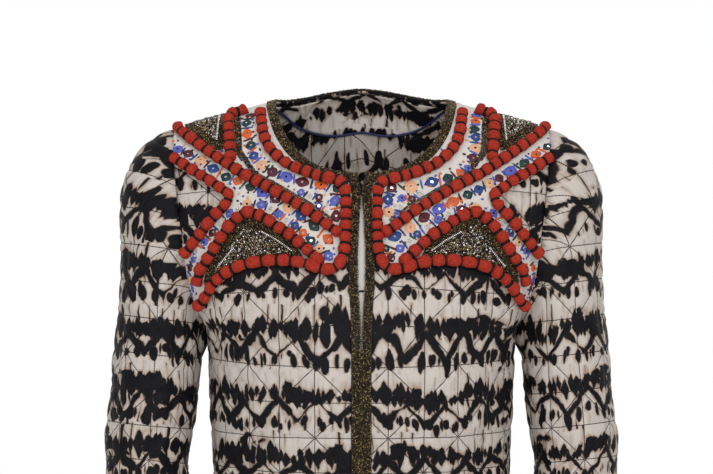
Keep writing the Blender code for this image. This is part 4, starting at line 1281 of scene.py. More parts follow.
def joined(name, shape, centres, axes):
    """One mesh with a copy of the shape at each centre, along that copy's three axes."""
    points = centres[:, None, :] + sum(
        shape[0][None, :, k, None] * axes[k][:, None, :] for k in range(3)
    )
    return mesh_piece(name, points.reshape(-1, 3), copies(shape, len(centres)))


def frames_at(uv, turn):
    """Two directions in the body's cloth, the first turned this much from u, and the one off it."""
    step = 0.0004
    way = np.stack([np.cos(turn), np.sin(turn)], axis=1) * step
    along = unit(body_cloth(uv + way) - body_cloth(uv - way))
    out = normals_of(body_cloth, uv)
    return along, np.cross(out, along), out


BEAD = template(lambda: bpy.ops.mesh.primitive_uv_sphere_add(segments=6, ring_count=3, radius=1))
print("bead:", len(BEAD[1]), "faces")

# %% Glass in many tones
bead_glass = Finish("seed beads", (0.1, 0.08, 0.05), 0.3, 0.75)
tone = bead_glass.add("ShaderNodeAttribute", attribute_name="tone").outputs["Fac"]
bead_glass.set("Base Color", bead_glass.ramp(
    tone, (0.0, (0.012, 0.010, 0.009)), (0.30, (0.055, 0.038, 0.020)), (0.52, (0.16, 0.105, 0.045)),
    (0.62, (0.36, 0.27, 0.13)), (0.70, (0.10, 0.09, 0.085)), (0.84, (0.42, 0.40, 0.38)),
    (1.0, (0.88, 0.87, 0.85))))
bead_glass.set("Roughness", bead_glass.math("MULTIPLY_ADD", tone, -0.16, 0.36))
bead_ground = Finish("bead ground", (0.02, 0.017, 0.013), 0.8)
bead_ground.set("Base Color", bead_ground.mix(
    bead_ground.noise(bead_ground.flat(), 900, 2), (0.010, 0.008, 0.007), (0.045, 0.034, 0.022)))


def beads(name, uv, size, turn, tones, height, side=1.0, longer=1.0):
    """A bead at each flat place, its length along the given turn."""
    uv = uv * (side, 1)
    turn = np.where(side < 0, np.pi - turn, turn)
    along, across, out = frames_at(uv, turn)
    size = np.reshape(size, (-1, 1))
    obj = joined(name, BEAD, lifted(body_cloth, uv, height),
                 (along * size * longer, across * size, out * size))
    layer = obj.data.attributes.new("tone", "FLOAT", "POINT")
    layer.data.foreach_set("value", np.repeat(tones, len(BEAD[0])).astype(np.float32))
    sew(obj, bead_glass.material)
    print(name, len(uv), "beads")


def bronze_tones(rng, count):
    """Mostly dark bronze, some gold and some black beads."""
    return np.where(rng.random(count) < 0.24, rng.uniform(0.52, 0.63, count),
                    rng.uniform(0.0, 0.50, count))


print("bead glass has", len(bead_glass.tree.nodes), "nodes")

# %% [markdown]
# ## Beaded edging
# A band of eight and a half millimetres runs down both front edges and round the neck. Its beads
# lie in slanted rows that change direction from line to line, like a herringbone. They could be
# scattered, but rows in order are what makes the edging look sewn.

# %% Rows of beads along a line
SEED = (0.00062, 0.00080)  # the radius of a seed bead, from and to
SEED_PITCH = 0.00150
SEED_LONG = 1.35
BAND_THICK = 0.0009
HERRINGBONE = np.radians(38)
TRIM_ROWS = (-0.0006, 0.0009, 0.0022, 0.0035, 0.0048, 0.0061, 0.0074)


def rows_along(line_at, offsets):
    """Flat places along lines at these distances, each line's beads set off by half a pitch."""
    spots, turns = [], []
    for k, offset in enumerate(offsets):
        line = resampled(line_at(offset), 0.0004)
        run = run_of(line)
        at = np.arange(SEED_PITCH * (0.25 + 0.5 * (k % 2)), run[-1], SEED_PITCH)
        spot = read_at(at, run, line)
        heading = np.gradient(spot, axis=0)
        spots.append(spot)
        turns.append(np.arctan2(heading[:, 1], heading[:, 0]) + np.pi / 2
                     + HERRINGBONE * (1 if k % 2 else -1))
    return np.vstack(spots), np.concatenate(turns)


def bead_height(uv, edges, rng):
    """The beads lie on the band, and lower where they go over the cloth's edge."""
    near = np.clip(distance(edges, uv) / 0.0009, 0, 1)
    return 0.0026 - 0.0018 * (1 - near) + rng.uniform(-0.0002, 0.0003, len(uv))


print("the edging has", len(TRIM_ROWS), "rows of beads")

# %% Beads along the neck and the front edges
for name, side in SIDES.items():
    rng = np.random.default_rng(11 if side > 0 else 12)
    band = np.vstack([beside_neck(0.0), beside_neck(TRIM_WIDTH)[::-1]])
    laid_piece(f"trim_ground_{name}", without_repeats(band), YOKE_LOW, BAND_THICK,
               bead_ground.material, f"edge_trim_{name}", side)
    uv, turn = rows_along(beside_neck, TRIM_ROWS)
    uv = uv + rng.normal(0, 0.00012, uv.shape)
    size = rng.uniform(*SEED, len(uv))
    beads(f"trim_beads_{name}", uv, size, turn + rng.normal(0, 0.16, len(uv)),
          bronze_tones(rng, len(uv)), bead_height(uv, [NECK_RUN, EDGE_RUN], rng),
          side, SEED_LONG)


# %% Beads round the back of the neck
def both_sides(half):
    """The line from one side to the other, from its points on the right."""
    return np.vstack([half, [(0, half[-1, 1])], half[::-1] * (-1, 1)])


def beside_back(inset):
    """The line this far in from the back of the neck."""
    line = beside(BACK_RUN, inset)
    return both_sides(line[line[:, 0] > 0.002])


band = np.vstack([beside_back(0.0), beside_back(TRIM_WIDTH)[::-1]])
laid_piece("trim_ground_back", without_repeats(band), YOKE_LOW, BAND_THICK,
           bead_ground.material, "back_neck_trim", 1.0)
rng = np.random.default_rng(13)
uv, turn = rows_along(beside_back, TRIM_ROWS)
uv = uv + rng.normal(0, 0.00012, uv.shape)
beads("trim_beads_back", uv, rng.uniform(*SEED, len(uv)), turn,
      bronze_tones(rng, len(uv)), bead_height(uv, [BACK_RUN, BACK_RUN * (-1, 1)], rng),
      1.0, SEED_LONG)

# %% [markdown]
# ## Bead-filled panels
# The triangle on the shoulder and the leaf on the chest are filled with beads: dark bronze ones
# along their edges, and larger silver and smoked ones heaped inside, with a chain of silver
# lozenges on a slant. Sewn beads never lie in perfect rows there, so places in even rows are
# pushed a little by chance.

# %% The two filled panels of each side
SPREAD = 0.0034  # how far a panel goes on under the cords round it
BORDER = 0.0090  # the width of its bronze border
HEAP_FROM = 0.0082


def scattered(outline, pitch, rng):
    """Places inside the outline, nearly evenly packed, and how far each is from its border."""
    spots = staggered(outline, pitch)
    spots = spots + rng.normal(0, pitch * 0.14, spots.shape)
    spots = spots[inside(outline, spots)]
    return spots, distance([closed(outline)], spots)


def grown(outline, away):
    """The closed outline, spread by this much on all sides."""
    line = resampled(outline + outline[:1], 0.003)[:-1]
    heading = unit(np.roll(line, -1, axis=0) - np.roll(line, 1, axis=0))
    out = np.stack([heading[:, 1], -heading[:, 0]], axis=1) * away
    return max((line + out, line - out), key=area_of)


PANELS = {"upper": grown(BEADS_UPPER, SPREAD), "lower": grown(BEADS_LOWER, SPREAD)}
CHAINS = {
    "upper": [[(0.1435, 0.006), (0.1445, 0.030), (0.1455, 0.047)]],
    "lower": [[(0.098, 0.1565), (0.083, 0.1665), (0.069, 0.178)], [(0.127, 0.170), (0.142, 0.186)]],
}
for panel, outline in PANELS.items():
    print(panel, "panel:", round(area_of(outline) * 1e4, 1), "cm2")


# %% Sew the panels' beads
def sew_border(panel, name, side, outline, rng):
    """Small bronze beads along the panel's border."""
    spots, edge = scattered(outline, 0.00152, rng)
    border = edge < BORDER
    tones = bronze_tones(rng, len(spots))[border]
    uv = spots[border]
    beads(f"panel_{panel}_border_{name}", uv, rng.uniform(0.0006, 0.00082, len(uv)),
          rng.uniform(0, np.pi, len(uv)), tones,
          YOKE_TOP + 0.0015 + rng.uniform(0, 0.0005, len(uv)), side, 1.3)


def sew_heap(panel, name, side, outline, rng):
    """Larger silver, smoked and dark beads heaped inside."""
    spots, edge = scattered(outline, 0.00205, rng)
    uv = spots[edge > HEAP_FROM]
    tones = np.where(rng.random(len(uv)) < 0.18, rng.uniform(0.86, 1.0, len(uv)),
                     rng.uniform(0.50, 0.84, len(uv)))
    tones = np.where(rng.random(len(uv)) < 0.30, rng.uniform(0.0, 0.4, len(uv)), tones)
    beads(f"panel_{panel}_heap_{name}", uv, rng.uniform(0.0008, 0.00135, len(uv)),
          rng.uniform(0, np.pi, len(uv)), tones,
          YOKE_TOP + 0.0020 + rng.uniform(0, 0.0009, len(uv)), side, 1.15)


def sew_chains(panel, name, side, rng):
    """Slim silver beads set on a slant along the panel's chains."""
    for n, chain in enumerate(CHAINS[panel]):
        line = spaced(chain, 0.0019)
        heading = np.gradient(line, axis=0)
        turn = np.arctan2(heading[:, 1], heading[:, 0]) + np.radians(62)
        beads(f"chain_{panel}_{n}_{name}", line, np.full(len(line), 0.00078), turn,
              rng.uniform(0.86, 1.0, len(line)), YOKE_TOP + 0.0038, side, 2.1)


for panel, outline in PANELS.items():
    for name, side in SIDES.items():
        rng = np.random.default_rng(len(outline) + (side > 0))
        laid_piece(f"panel_{panel}_ground_{name}", outline, YOKE_TOP + GAP, 0.0008,
                   bead_ground.material, f"bead_panel_{panel}_{name}", side)
        sew_border(panel, name, side, outline, rng)
        sew_heap(panel, name, side, outline, rng)
        sew_chains(panel, name, side, rng)

# %% [markdown]
# ## Couched cords
# Red crinkled cotton is wound round a thick cord, which is bound with black thread every twelve
# millimetres, and every fifteen on the lower run, so that it swells into bobbles. The cord is sewn
# down along the chalk lines. A row of balls would be quicker, but the cotton runs on through every
# binding, so each cord is one tube whose radius rises and falls along its length. The bobbles
# differ a little in length and girth, as they do when a hand binds them.

# %% Red crinkled cotton and black thread
crinkled = Finish("crinkled red cotton", (0.50, 0.045, 0.022), 0.9, specular=0.15)
# One noise makes both the crinkles' bump and the red's colour, so the hollows are darker: painted shade
# in the creases.
crinkle_height_and_shade = crinkled.noise(crinkled.place(), (520, 520, 700), 4, 0.6)
crinkled.set("Base Color", crinkled.ramp(
    crinkle_height_and_shade, (0.30, (0.178, 0.0107, 0.0072)), (0.48, (0.343, 0.0268, 0.0143)),
    (0.70, (0.428, 0.0445, 0.0232))))
crinkled.bump(crinkle_height_and_shade, 0.75, 0.0009)
black_thread = Finish("black thread", BLACK_THREAD, 0.7, specular=0.2)
black_thread.bump(black_thread.noise(black_thread.place(), 2500, 1), 0.5, 0.0003)
print("red cotton has", len(crinkled.tree.nodes), "nodes")


# %% A tube along the cloth
def along_cloth(line, height=0.0):
    """Points at this height over the flat line, the way off the cloth there, the way along the
    line, and the way beside it."""
    middle = lifted(body_cloth, line, height)
    out = normals_of(body_cloth, line)
    heading = unit(np.gradient(middle, axis=0))
    return middle, out, heading, unit(np.cross(heading, out))


def tube_faces(rings, around):
    """Quads between rings, and a fan of triangles at each end."""
    faces = []
    for k in range(rings - 1):
        for c in range(around):
            d = (c + 1) % around
            faces.append((around * k + c, around * k + d, around * (k + 1) + d, around * (k + 1) + c))
    first = rings * around
    faces += [(first, (c + 1) % around, c) for c in range(around)]
    end = around * (rings - 1)
    faces += [(first + 1, end + c, end + (c + 1) % around) for c in range(around)]
    return faces


def tube(name, centre, aside, out, radii, flat=1.0):
    """A closed tube with a row of radii round each point of its centre line."""
    angle = np.arange(radii.shape[1]) / radii.shape[1] * 2 * np.pi
    points = (
        centre[:, None]
        + aside[:, None] * (np.cos(angle) * radii)[..., None]
        + out[:, None] * (np.sin(angle) * radii * flat)[..., None]
    )
    points = np.vstack([points.reshape(-1, 3), centre[:1], centre[-1:]])
    obj = mesh_piece(name, points, tube_faces(*radii.shape))
    edited(obj, bpy.ops.mesh.normals_make_consistent, inside=False)
    return obj


print("a tube of 3 rings of 8 points has", len(tube_faces(3, 8)), "faces")

# %% Bobbles
AROUND = 16  # points round a cord
RINGS_PER_BOBBLE = 10
WAIST = 0.66  # the radius at a binding, as a share of a bobble's
BOUND = 0.0012  # half the length that a binding holds flat
CORD_BASE = YOKE_TOP + 0.0004
SUNK_IN = 0.875  # how high the cord's middle is over its base, as a share of its radius
CREASES = 9


def waists_along(fine, run, rng):
    """Where along the cord its ends and bindings are, with longer gaps on the lower run."""
    low = (fine[:, 1] > 0.185) & (np.abs(fine[:, 0]) < 0.130)
    passed = np.concatenate([[0], np.cumsum(np.diff(run) / np.where(low, LONG_BOBBLE, BOBBLE)[1:])])
    count = round(passed[-1])
    waists = np.interp(np.arange(count + 1) * passed[-1] / count, passed, run)
    waists[1:-1] += rng.uniform(-0.09, 0.09, count - 1) * BOBBLE
    return waists


def bobble_radii(at, waists, down, rng):
    """The cord's radius at each place along it. Near the ridge it is bound less tightly."""
    girths = CORD_RADIUS * rng.uniform(0.93, 1.05, len(waists) - 1)
    bobble = np.clip(np.searchsorted(waists, at, side="right") - 1, 0, len(girths) - 1)
    length = waists[bobble + 1] - waists[bobble]
    waist = WAIST + np.clip((0.030 - down) / 0.03, 0, 1) * 0.12
    risen = np.clip((at - waists[bobble] - BOUND) / (length - 2 * BOUND), 0, 1)
    swell = waist + (1 - waist) * np.sin(np.pi * risen) ** 0.50
    to_end = np.clip(np.minimum(at, at[-1] - at) / 0.0042, 0, 1)
    return girths[bobble] * swell * np.sqrt(np.clip(1 - (1 - to_end) ** 2, 0.002, 1))


def creased(at, radius, rng):
    """Radii round the cord at each place, with the cotton's creases."""
    angle = np.arange(AROUND) / AROUND * 2 * np.pi
    crease = np.zeros((len(at), AROUND))
    for _ in range(CREASES):
        turns = rng.integers(1, 6)
        crease += np.sin(
            angle * turns + at[:, None] * rng.uniform(300, 1500) + rng.uniform(0, 7)
        )
    return radius[:, None] * (1 + 0.016 * crease)


print("a cord is", round(2000 * CORD_RADIUS, 1), "mm thick, and", round(WAIST, 2), "of that when bound")

# %% Bind and sew down each cord
CORNERS, FACES = template(lambda: bpy.ops.mesh.primitive_torus_add(
    major_segments=18, minor_segments=5, major_radius=1.0, minor_radius=0.10))
THREAD_RING = (CORNERS * (1, 1, 5), FACES)


def bound_rings(fine, run, waists, at, heading, radius, rng):
    """Three turns of thread at each binding, each a little askew."""
    rings = []
    for waist in waists[1:-1]:
        nearest = np.argmin(np.abs(at - waist))
        r = radius[nearest]
        for aside in (-0.0008, 0.0, 0.0008):
            spot = read_at(waist + aside, run, fine)[None]
            n = normals_of(body_cloth, spot)[0]
            way = unit(heading[nearest] + n * rng.uniform(-0.14, 0.14))
            wide = unit(np.cross(way, n))
            ring_points = THREAD_RING[0] * (r * 1.14, r * 1.03, 0.0011)
            rings.append(body_cloth(spot)[0] + n * (CORD_BASE + SUNK_IN * r)
                         + ring_points @ np.stack([wide, np.cross(wide, way), way]))
    return rings


def bobbled_cord(name, points, side, rng):
    """The red cord of one chalk line, and its black bindings."""
    fine = spaced(points, 0.001) * (side, 1)
    run = run_of(body_cloth(fine))
    waists = waists_along(fine, run, rng)
    share = np.arange(RINGS_PER_BOBBLE) / RINGS_PER_BOBBLE
    at = np.concatenate([a + share * (b - a) for a, b in zip(waists, waists[1:])])
    at = np.append(at, run[-1])
    line = read_at(at, run, fine)
    radius = bobble_radii(at, waists, line[:, 1], rng)
    middle, out, heading, aside = along_cloth(line)
    centre = middle + out * (CORD_BASE + SUNK_IN * radius[:, None])
    cord = tube(f"red_{name}", centre, aside, out, creased(at, radius, rng), 0.90)
    sew(cord, crinkled.material, name)
    rings = bound_rings(fine, run, waists, at, heading, radius, rng)
    thread = mesh_piece(f"binding_{name}", np.vstack(rings), copies(THREAD_RING, len(rings)))
    sew(thread, black_thread.material)
    print(name, "has", len(waists) - 1, "bobbles")


for name, side in SIDES.items():
    for number, (line_name, points) in enumerate(CORDS.items()):
        rng = np.random.default_rng(100 + 10 * number + (side > 0))
        bobbled_cord(f"{line_name}_{name}", points, side, rng)

# %% [markdown]
# ## Mirror embroidery
# Between the cords run bands of small mirrors. Each mirror is held by satin stitches that make an
# eye, a lozenge, a square with soft corners, or a scalloped round, in six colours of silk. White
# rounds have no mirror. Short bars of another colour part the motifs. A motif is modelled once as
# a ring of stitches that rises towards the mirror, and each copy is drawn out to its own outline.
# A model for each kind would be more work and would repeat itself.

# %% Thread colours and mirrors
THREADS = {
    "n": (0.022, 0.060, 0.24),
    "v": (0.10, 0.125, 0.50),
    "g": (0.012, 0.045, 0.040),
    "o": (0.72, 0.12, 0.022),
    "p": (0.78, 0.43, 0.24),
    "m": (0.095, 0.012, 0.024),
    "w": (0.66, 0.64, 0.60),
}
silks = {}
for letter, colour in THREADS.items():
    silk = Finish(f"silk thread {letter}", colour, 0.5, specular=0.3)
    darker = tuple(0.62 * c for c in colour)
    lighter = tuple(min(1, 1.25 * c) for c in colour)
    silk.set("Base Color", silk.mix(silk.noise(silk.place(), 900, 2), darker, lighter))
    silk.bump(silk.noise(silk.place(), 2600, 1), 0.5, 0.0003)
    silks[letter] = silk.material
mirror = Finish("mirror", (0.80, 0.81, 0.82), 0.12, 1.0)
# The mirrors' colour swings with noise from near black to bright silver, so many look dark and a few
# bright: painted reflection of dark and bright surroundings, not the glass's own colour.
mirror.set("Base Color", mirror.ramp(
    mirror.noise(mirror.place(), 130, 1), (0.46, (0.06, 0.06, 0.07)), (0.56, (0.95, 0.95, 0.96))))
print("thread colours:", len(silks))


# %% One stitched motif
def stitched_ring():
    """A ring of satin stitches in the unit disc: low at its rim, high round the mirror."""
    def add():
        bpy.ops.mesh.primitive_circle_add(vertices=28, radius=1.0, fill_type="NOTHING")
        bpy.ops.object.mode_set(mode="EDIT")
        bpy.ops.mesh.select_all(action="SELECT")
        for scale, rise in ((0.86, 0.55), (0.72, 0.40), (0.80, 0.15)):
            bpy.ops.mesh.extrude_edges_move(TRANSFORM_OT_translate={"value": (0, 0, rise)})
            bpy.ops.transform.resize(value=(scale, scale, 1), center_override=(0, 0, 0))
        bpy.ops.object.mode_set(mode="OBJECT")
    return template(add)


RING = stitched_ring()
DISC = template(lambda: bpy.ops.mesh.primitive_circle_add(vertices=12, radius=1, fill_type="NGON"))
print("motif:", len(RING[1]), "faces")

# %% Draw a motif out to its outline
POWERS = {"eye": 1.35, "square": 2.8, "lozenge": 1.45}  # 1 is pointed, 2 is round
EYE = 0.0013  # the radius of the hole that the stitches leave for the mirror
RING_HIGH = 0.00105
RIDGE = 0.00022  # every second stitch stands up by this much


def reach_of(kind, angle, along, across):
    """How far a motif's outline is from its middle."""
    c = np.abs(np.cos(angle))
    s = np.abs(np.sin(angle))
    if kind == "scalloped":
        return (along + across) / 2 * (1 + 0.07 * np.cos(8 * angle)) * np.ones_like(c)
    power = POWERS[kind]
    return ((c / along) ** power + (s / across) ** power) ** (-1 / power)


def motif(at, turn, kind, along, across, rng):
    """Points of one stitched ring and of its mirror, in their place on the yoke."""
    corners = RING[0]
    angle = np.arctan2(corners[:, 1], corners[:, 0])
    radius = np.hypot(corners[:, 0], corners[:, 1])
    rim = reach_of(kind, angle, along, across) * (1 + rng.normal(0, 0.03, len(angle)))
    share = (radius - radius.min()) / (1 - radius.min())
    spread = EYE + (rim - EYE) * share
    ridge = RIDGE * (np.arange(len(corners)) % 2) * (share > 0.02)
    flat = np.stack([np.cos(angle), np.sin(angle)], axis=1) * spread[:, None]
    spin = np.array([[np.cos(turn), np.sin(turn)], [-np.sin(turn), np.cos(turn)]])
    height = YOKE_TOP + 0.00005 + corners[:, 2] * RING_HIGH + ridge
    stitches = lifted(body_cloth, at + flat @ spin, height)
    glass = at + DISC[0][:, :2] * EYE * 1.06 @ spin
    tilt = DISC[0][:, :2] @ rng.normal(0, 0.00022, 2)
    return stitches, lifted(body_cloth, glass, YOKE_TOP + 0.00075 + tilt)


print("a mirror is", round(2000 * EYE * 1.06, 1), "mm across")

# %% [markdown]
# ## Where the motifs go
# The bands follow the cords: one beside the neck, a small wedge, one along the diagonal cord, and
# an inner and an outer one round the leaf. Each side was sewn by hand and differs from the other.
# The places and threads are a short list for each band, measured on the photograph and rounded,
# apart from the outer bands, which were laid out one by one. Spreading them by a rule would be
# shorter, but the eye notices at once when such bands are too even.

# %% Motifs of both sides
# Each motif has the letter of its thread, and how far it is out and down, in millimetres.
MOTIFS = {
    "right": {
        "neck": [("m", 112, 14), ("g", 116, 27), ("o", 115, 43), ("g", 111, 59), ("n", 108, 72),
                 ("p", 100, 84), ("m", 89, 93), ("v", 75, 100), ("m", 59, 107), ("o", 40, 112),
                 ("g", 24, 117), ("v", 26, 130), ("m", 25, 146)],
        "wedge": [("v", 60, 118), ("w", 51, 123), ("m", 42, 125), ("v", 42, 134), ("w", 35, 141)],
        "diagonal": [("v", 186, 48), ("m", 175, 57), ("p", 162, 69), ("n", 149, 81), ("g", 136, 93),
                     ("o", 124, 99), ("g", 111, 107), ("v", 99, 114), ("m", 86, 122), ("p", 72, 132),
                     ("n", 60, 143), ("g", 47, 154), ("o", 33, 169)],
        "inner": [("p", 114, 125), ("v", 100, 127), ("w", 90, 132), ("v", 82, 139), ("w", 74, 145),
                  ("n", 66, 152), ("o", 58, 160), ("g", 50, 169), ("p", 42, 178), ("v", 33, 186)],
        "outer": [("v", 132, 133), ("w", 142, 143), ("m", 150, 152), ("v", 159, 161), ("w", 168, 170),
                  ("v", 174, 178), ("m", 181, 186), ("p", 186, 198), ("v", 184, 208)],
    },
    "left": {
        "neck": [("v", 116, 12), ("o", 115, 24), ("g", 114, 36), ("n", 115, 48), ("p", 114, 62),
                 ("m", 112, 74), ("v", 107, 87), ("o", 99, 93), ("g", 86, 100), ("n", 70, 106),
                 ("p", 49, 113), ("m", 30, 116), ("n", 26, 129), ("p", 27, 142)],
        "wedge": [("v", 40, 126), ("m", 50, 126), ("w", 59, 120), ("w", 38, 135), ("v", 35, 144)],
        "diagonal": [("g", 189, 43), ("o", 176, 58), ("g", 164, 72), ("v", 150, 84), ("m", 138, 94),
                     ("p", 128, 101), ("n", 117, 109), ("g", 106, 116), ("o", 91, 125), ("v", 77, 134),
                     ("m", 62, 144), ("p", 48, 156), ("n", 33, 166)],
        "inner": [("p", 114, 129), ("m", 100, 132), ("w", 86, 138), ("v", 76, 145), ("w", 65, 153),
                  ("n", 55, 162), ("w", 47, 169), ("v", 38, 178), ("g", 24, 179), ("m", 29, 188)],
        "outer": [("v", 132, 133), ("w", 142, 143), ("n", 150, 152), ("p", 159, 161), ("v", 168, 170),
                  ("w", 174, 178), ("o", 181, 186), ("v", 186, 198), ("m", 184, 208)],
    },
}
SIZES = {  # half length and half width of a motif
    "neck": (0.0080, 0.0056), "wedge": (0.0052, 0.0042), "diagonal": (0.0076, 0.0053),
    "inner": (0.0061, 0.0047), "outer": (0.0051, 0.0040),
}
KINDS = {"n": "lozenge", "v": "lozenge", "g": "eye", "o": "eye", "p": "scalloped", "m": "lozenge",
         "w": "scalloped"}
BARS = "vgnmovgn"  # the threads of the bars, in turn
for name in SIDES:
    print(name, "has", sum(map(len, MOTIFS[name].values())), "motifs")


# %% Place the motifs, and a bar between each two
def placed(name, side, rng):
    """Each thread's rings and bars, the mirrors, and the places that are now taken."""
    rings = {letter: [] for letter in THREADS}
    bars = {letter: [] for letter in THREADS}
    glasses, taken = [], []
    for band, motifs in MOTIFS[name].items():
        along, across = SIZES[band]
        line = np.array([m[1:] for m in motifs]) * 0.001 * (side, 1)
        heading = np.gradient(line, axis=0)
        gaps = np.linalg.norm(np.diff(line, axis=0), axis=1)
        room = np.minimum(np.append(gaps, 1), np.insert(gaps, 0, 1))
        taken.append(line * (side, 1))
        for k, (letter, _, _) in enumerate(motifs):
            turn = np.arctan2(heading[k, 1], heading[k, 0]) + rng.normal(0, 0.14)
            kind = KINDS[letter] if letter != "v" or rng.random() < 0.6 else "square"
            small = 0.55 if letter == "w" else rng.uniform(0.93, 1.06)
            stitches, glass = motif(line[k], turn, kind, min(along, 0.45 * room[k]) * small,
                                    across * small, rng)
            rings[letter].append(stitches)
            if letter != "w":
                glasses.append(glass)
            if k:
                bars[BARS[(k + (side > 0) * 3) % len(BARS)]].append(
                    ((line[k] + line[k - 1]) / 2, turn + np.pi / 2 + rng.normal(0, 0.25),
                     across * rng.uniform(0.95, 1.30)))
    return rings, bars, glasses, np.vstack(taken)


print("the bars take their threads in turn:", BARS)

# %% Small stitches in the room that is left
BUSY = [spaced(line, 0.002) for line in CORDS.values()] + [beside_neck(0.0015)]
RIDGE_FREE = 0.014  # no small stitches nearer the ridge than this
CORD_FREE = 0.0083
STITCH_FREE = 0.0044


def add_small_stitches(side, bars, taken, rng):
    """Short stitches in any colour, clear of the cords, the panels and each other."""
    spots = rng.uniform(cut_yoke.min(0), cut_yoke.max(0), (2600, 2))
    spots = spots[inside(cut_yoke, spots) & (spots[:, 1] > RIDGE_FREE)]
    spots = spots[distance(BUSY, spots) > CORD_FREE]
    for panel in PANELS.values():
        spots = spots[~inside(panel, spots)]
    for at in spots:
        if np.linalg.norm(taken - at, axis=1).min() > STITCH_FREE:
            bars[rng.choice(list("vvompgn"))].append(
                (at * (side, 1), rng.uniform(0, np.pi), rng.uniform(0.0010, 0.0022)))
            taken = np.vstack([taken, at])


print("lines that small stitches keep off:", len(BUSY))

# %% Sew both sides
BAR = template(lambda: bpy.ops.mesh.primitive_uv_sphere_add(segments=8, ring_count=6, radius=1))
for name, side in SIDES.items():
    rng = np.random.default_rng(51 if side > 0 else 52)
    rings, bars, glasses, taken = placed(name, side, rng)
    add_small_stitches(side, bars, taken, rng)
    for letter, made in rings.items():
        if made:
            obj = mesh_piece(f"stitches_{letter}_{name}", np.vstack(made), copies(RING, len(made)))
            edited(obj, bpy.ops.mesh.normals_make_consistent, inside=False)
            sew(obj, silks[letter])
    obj = mesh_piece(f"mirrors_{name}", np.vstack(glasses), copies(DISC, len(glasses)))
    face_out(obj, (0, -1, 0))
    sew(obj, mirror.material)
    for letter, made in bars.items():
        if made:
            at, turn, half_length = (np.array(values) for values in zip(*made))
            way, aside, out = frames_at(at, turn)
            obj = joined(f"bars_{letter}_{name}", BAR, lifted(body_cloth, at, YOKE_TOP + GAP),
                         (way * half_length[:, None], aside * 0.00115, out * 0.0010))
            sew(obj, silks[letter])
    print(name, "side:", len(glasses), "mirrors,", sum(map(len, bars.values())), "bars and stitches")

# %% [markdown]
# ## Strips of beads beside the cords
# A narrow strip of bronze beads runs along the neck side of the shoulder cord and on along the
# upper side of the diagonal cord, getting narrower. Single silver beads are sewn here and there
# where two bands meet. The strip's middle is made from the cords' own lines, moved aside, so it
# stays at an even distance from them.

# %% Bead strips and single beads
STRIP = np.vstack([
    beside(spaced(CORDS["shoulder_cord"][2:], 0.002), 0.0086)[:-6],
    beside(spaced(CORDS["diagonal_cord"][6:], 0.002), 0.0072)[4:-8],
])
STRIP_ROWS = (-0.0030, -0.0016, -0.0002, 0.0012, 0.0026)
STRIP_WIDE = 0.0035  # half its width at the top
SINGLES = [(0.062, 0.1250), (0.055, 0.1190), (0.046, 0.1200), (0.0330, 0.1330), (0.0315, 0.1480),
           (0.0900, 0.1325), (0.1240, 0.1290), (0.1070, 0.1300), (0.0820, 0.1430), (0.0700, 0.1530),
           (0.0560, 0.1660), (0.0450, 0.1790), (0.1380, 0.1390), (0.1490, 0.1500), (0.1600, 0.1630),
           (0.1700, 0.1740), (0.0300, 0.1900), (0.0560, 0.1800), (0.0960, 0.1455), (0.1230, 0.1480)]


def beside_cord(inset):
    """The line this far to the side of the strip's middle."""
    return beside(spaced(STRIP, 0.002), inset)


def in_strip(uv):
    """Which places are inside the strip, which narrows from the shoulder down."""
    wide = np.interp(uv[:, 1], (0.06, 0.14), (1.0, 0.35))
    middle = spaced(STRIP, 0.0005)
    foot = middle[np.argmin(np.linalg.norm(uv[:, None] - middle[None], axis=2), axis=1)]
    return np.linalg.norm(uv - foot, axis=1) < STRIP_WIDE * wide


for name, side in SIDES.items():
    rng = np.random.default_rng(61 if side > 0 else 62)
    uv, turn = rows_along(beside_cord, STRIP_ROWS)
    keep = in_strip(uv)
    uv, turn = uv[keep], turn[keep]
    beads(f"strip_beads_{name}", uv, rng.uniform(0.00062, 0.0008, len(uv)), turn,
          bronze_tones(rng, len(uv)), YOKE_TOP + 0.0006, side, SEED_LONG)
    single = np.array(SINGLES) + rng.normal(0, 0.0008, (len(SINGLES), 2))
    beads(f"single_beads_{name}", single, rng.uniform(0.0012, 0.0016, len(single)),
          np.zeros(len(single)), rng.uniform(0.9, 1.0, len(single)), YOKE_TOP + 0.0012,
          side)

# %% [markdown]
# ## Inside the neck
# A facing of the same silk, with no quilting, finishes the back of the neck. Its lower edge is
# bound in navy, and the front neckline is edged inside with a cream and a red piping. A piping is
# a thin cord in a strip of cloth, so it is made as a tube, like the bobbled cords but even.

# %% Facing
FACING_THICK = 0.0008
facing_half = spaced([(0.0970, SEAM_V), (0.0945, -0.036)] + FACING_EDGE[1:], 0.004)


def facing_edge(skipped):
    """The facing's lower edge, without this many points at each end."""
    half = facing_half[skipped:-1]
    return np.vstack([half, FACING_EDGE[-1:], half[::-1] * (-1, 1)])


cut_facing = without_repeats(np.vstack([facing_edge(0), beside_back(TRIM_WIDTH)[::-1]]))
uv, triangles = filled(cut_facing, 0.003)
facing = mesh_piece("silk_facing", lifted(body_cloth, uv, -WALL / 2 - GAP), triangles, uv)
face_out(facing, normals_of(body_cloth, uv[triangles].mean(1)))
thicken(facing, FACING_THICK)
sew(facing, facing_silk, "neck_facing")


# %% Pipings
def piping(name, line, height, radius, material, node=None):
    """A thin even cord along a line of the flat cloth."""
    middle, out, _, aside = along_cloth(line, height)
    obj = tube(name, middle, aside, out, np.full((len(line), 10), radius))
    sew(obj, material, node)
    print(name, round(run_of(middle)[-1], 3), "m long")


navy = Finish("navy binding", (0.012, 0.020, 0.085), 0.6)
navy.bump(navy.noise(navy.place(), 1800, 1), 0.4, 0.0003)
piping("navy_piping", facing_edge(2), -WALL / 2 - 0.0014, 0.0013, navy.material,
       "facing_piping")
for name, side in SIDES.items():
    for inset, letter in ((0.0012, "w"), (0.0032, "o")):
        line = resampled(beside(NECK_RUN, -inset), 0.003)[3:-6] * (side, 1)
        piping(f"inner_piping_{letter}_{name}", line, -WALL / 2 - 0.0006, 0.0008, silks[letter])

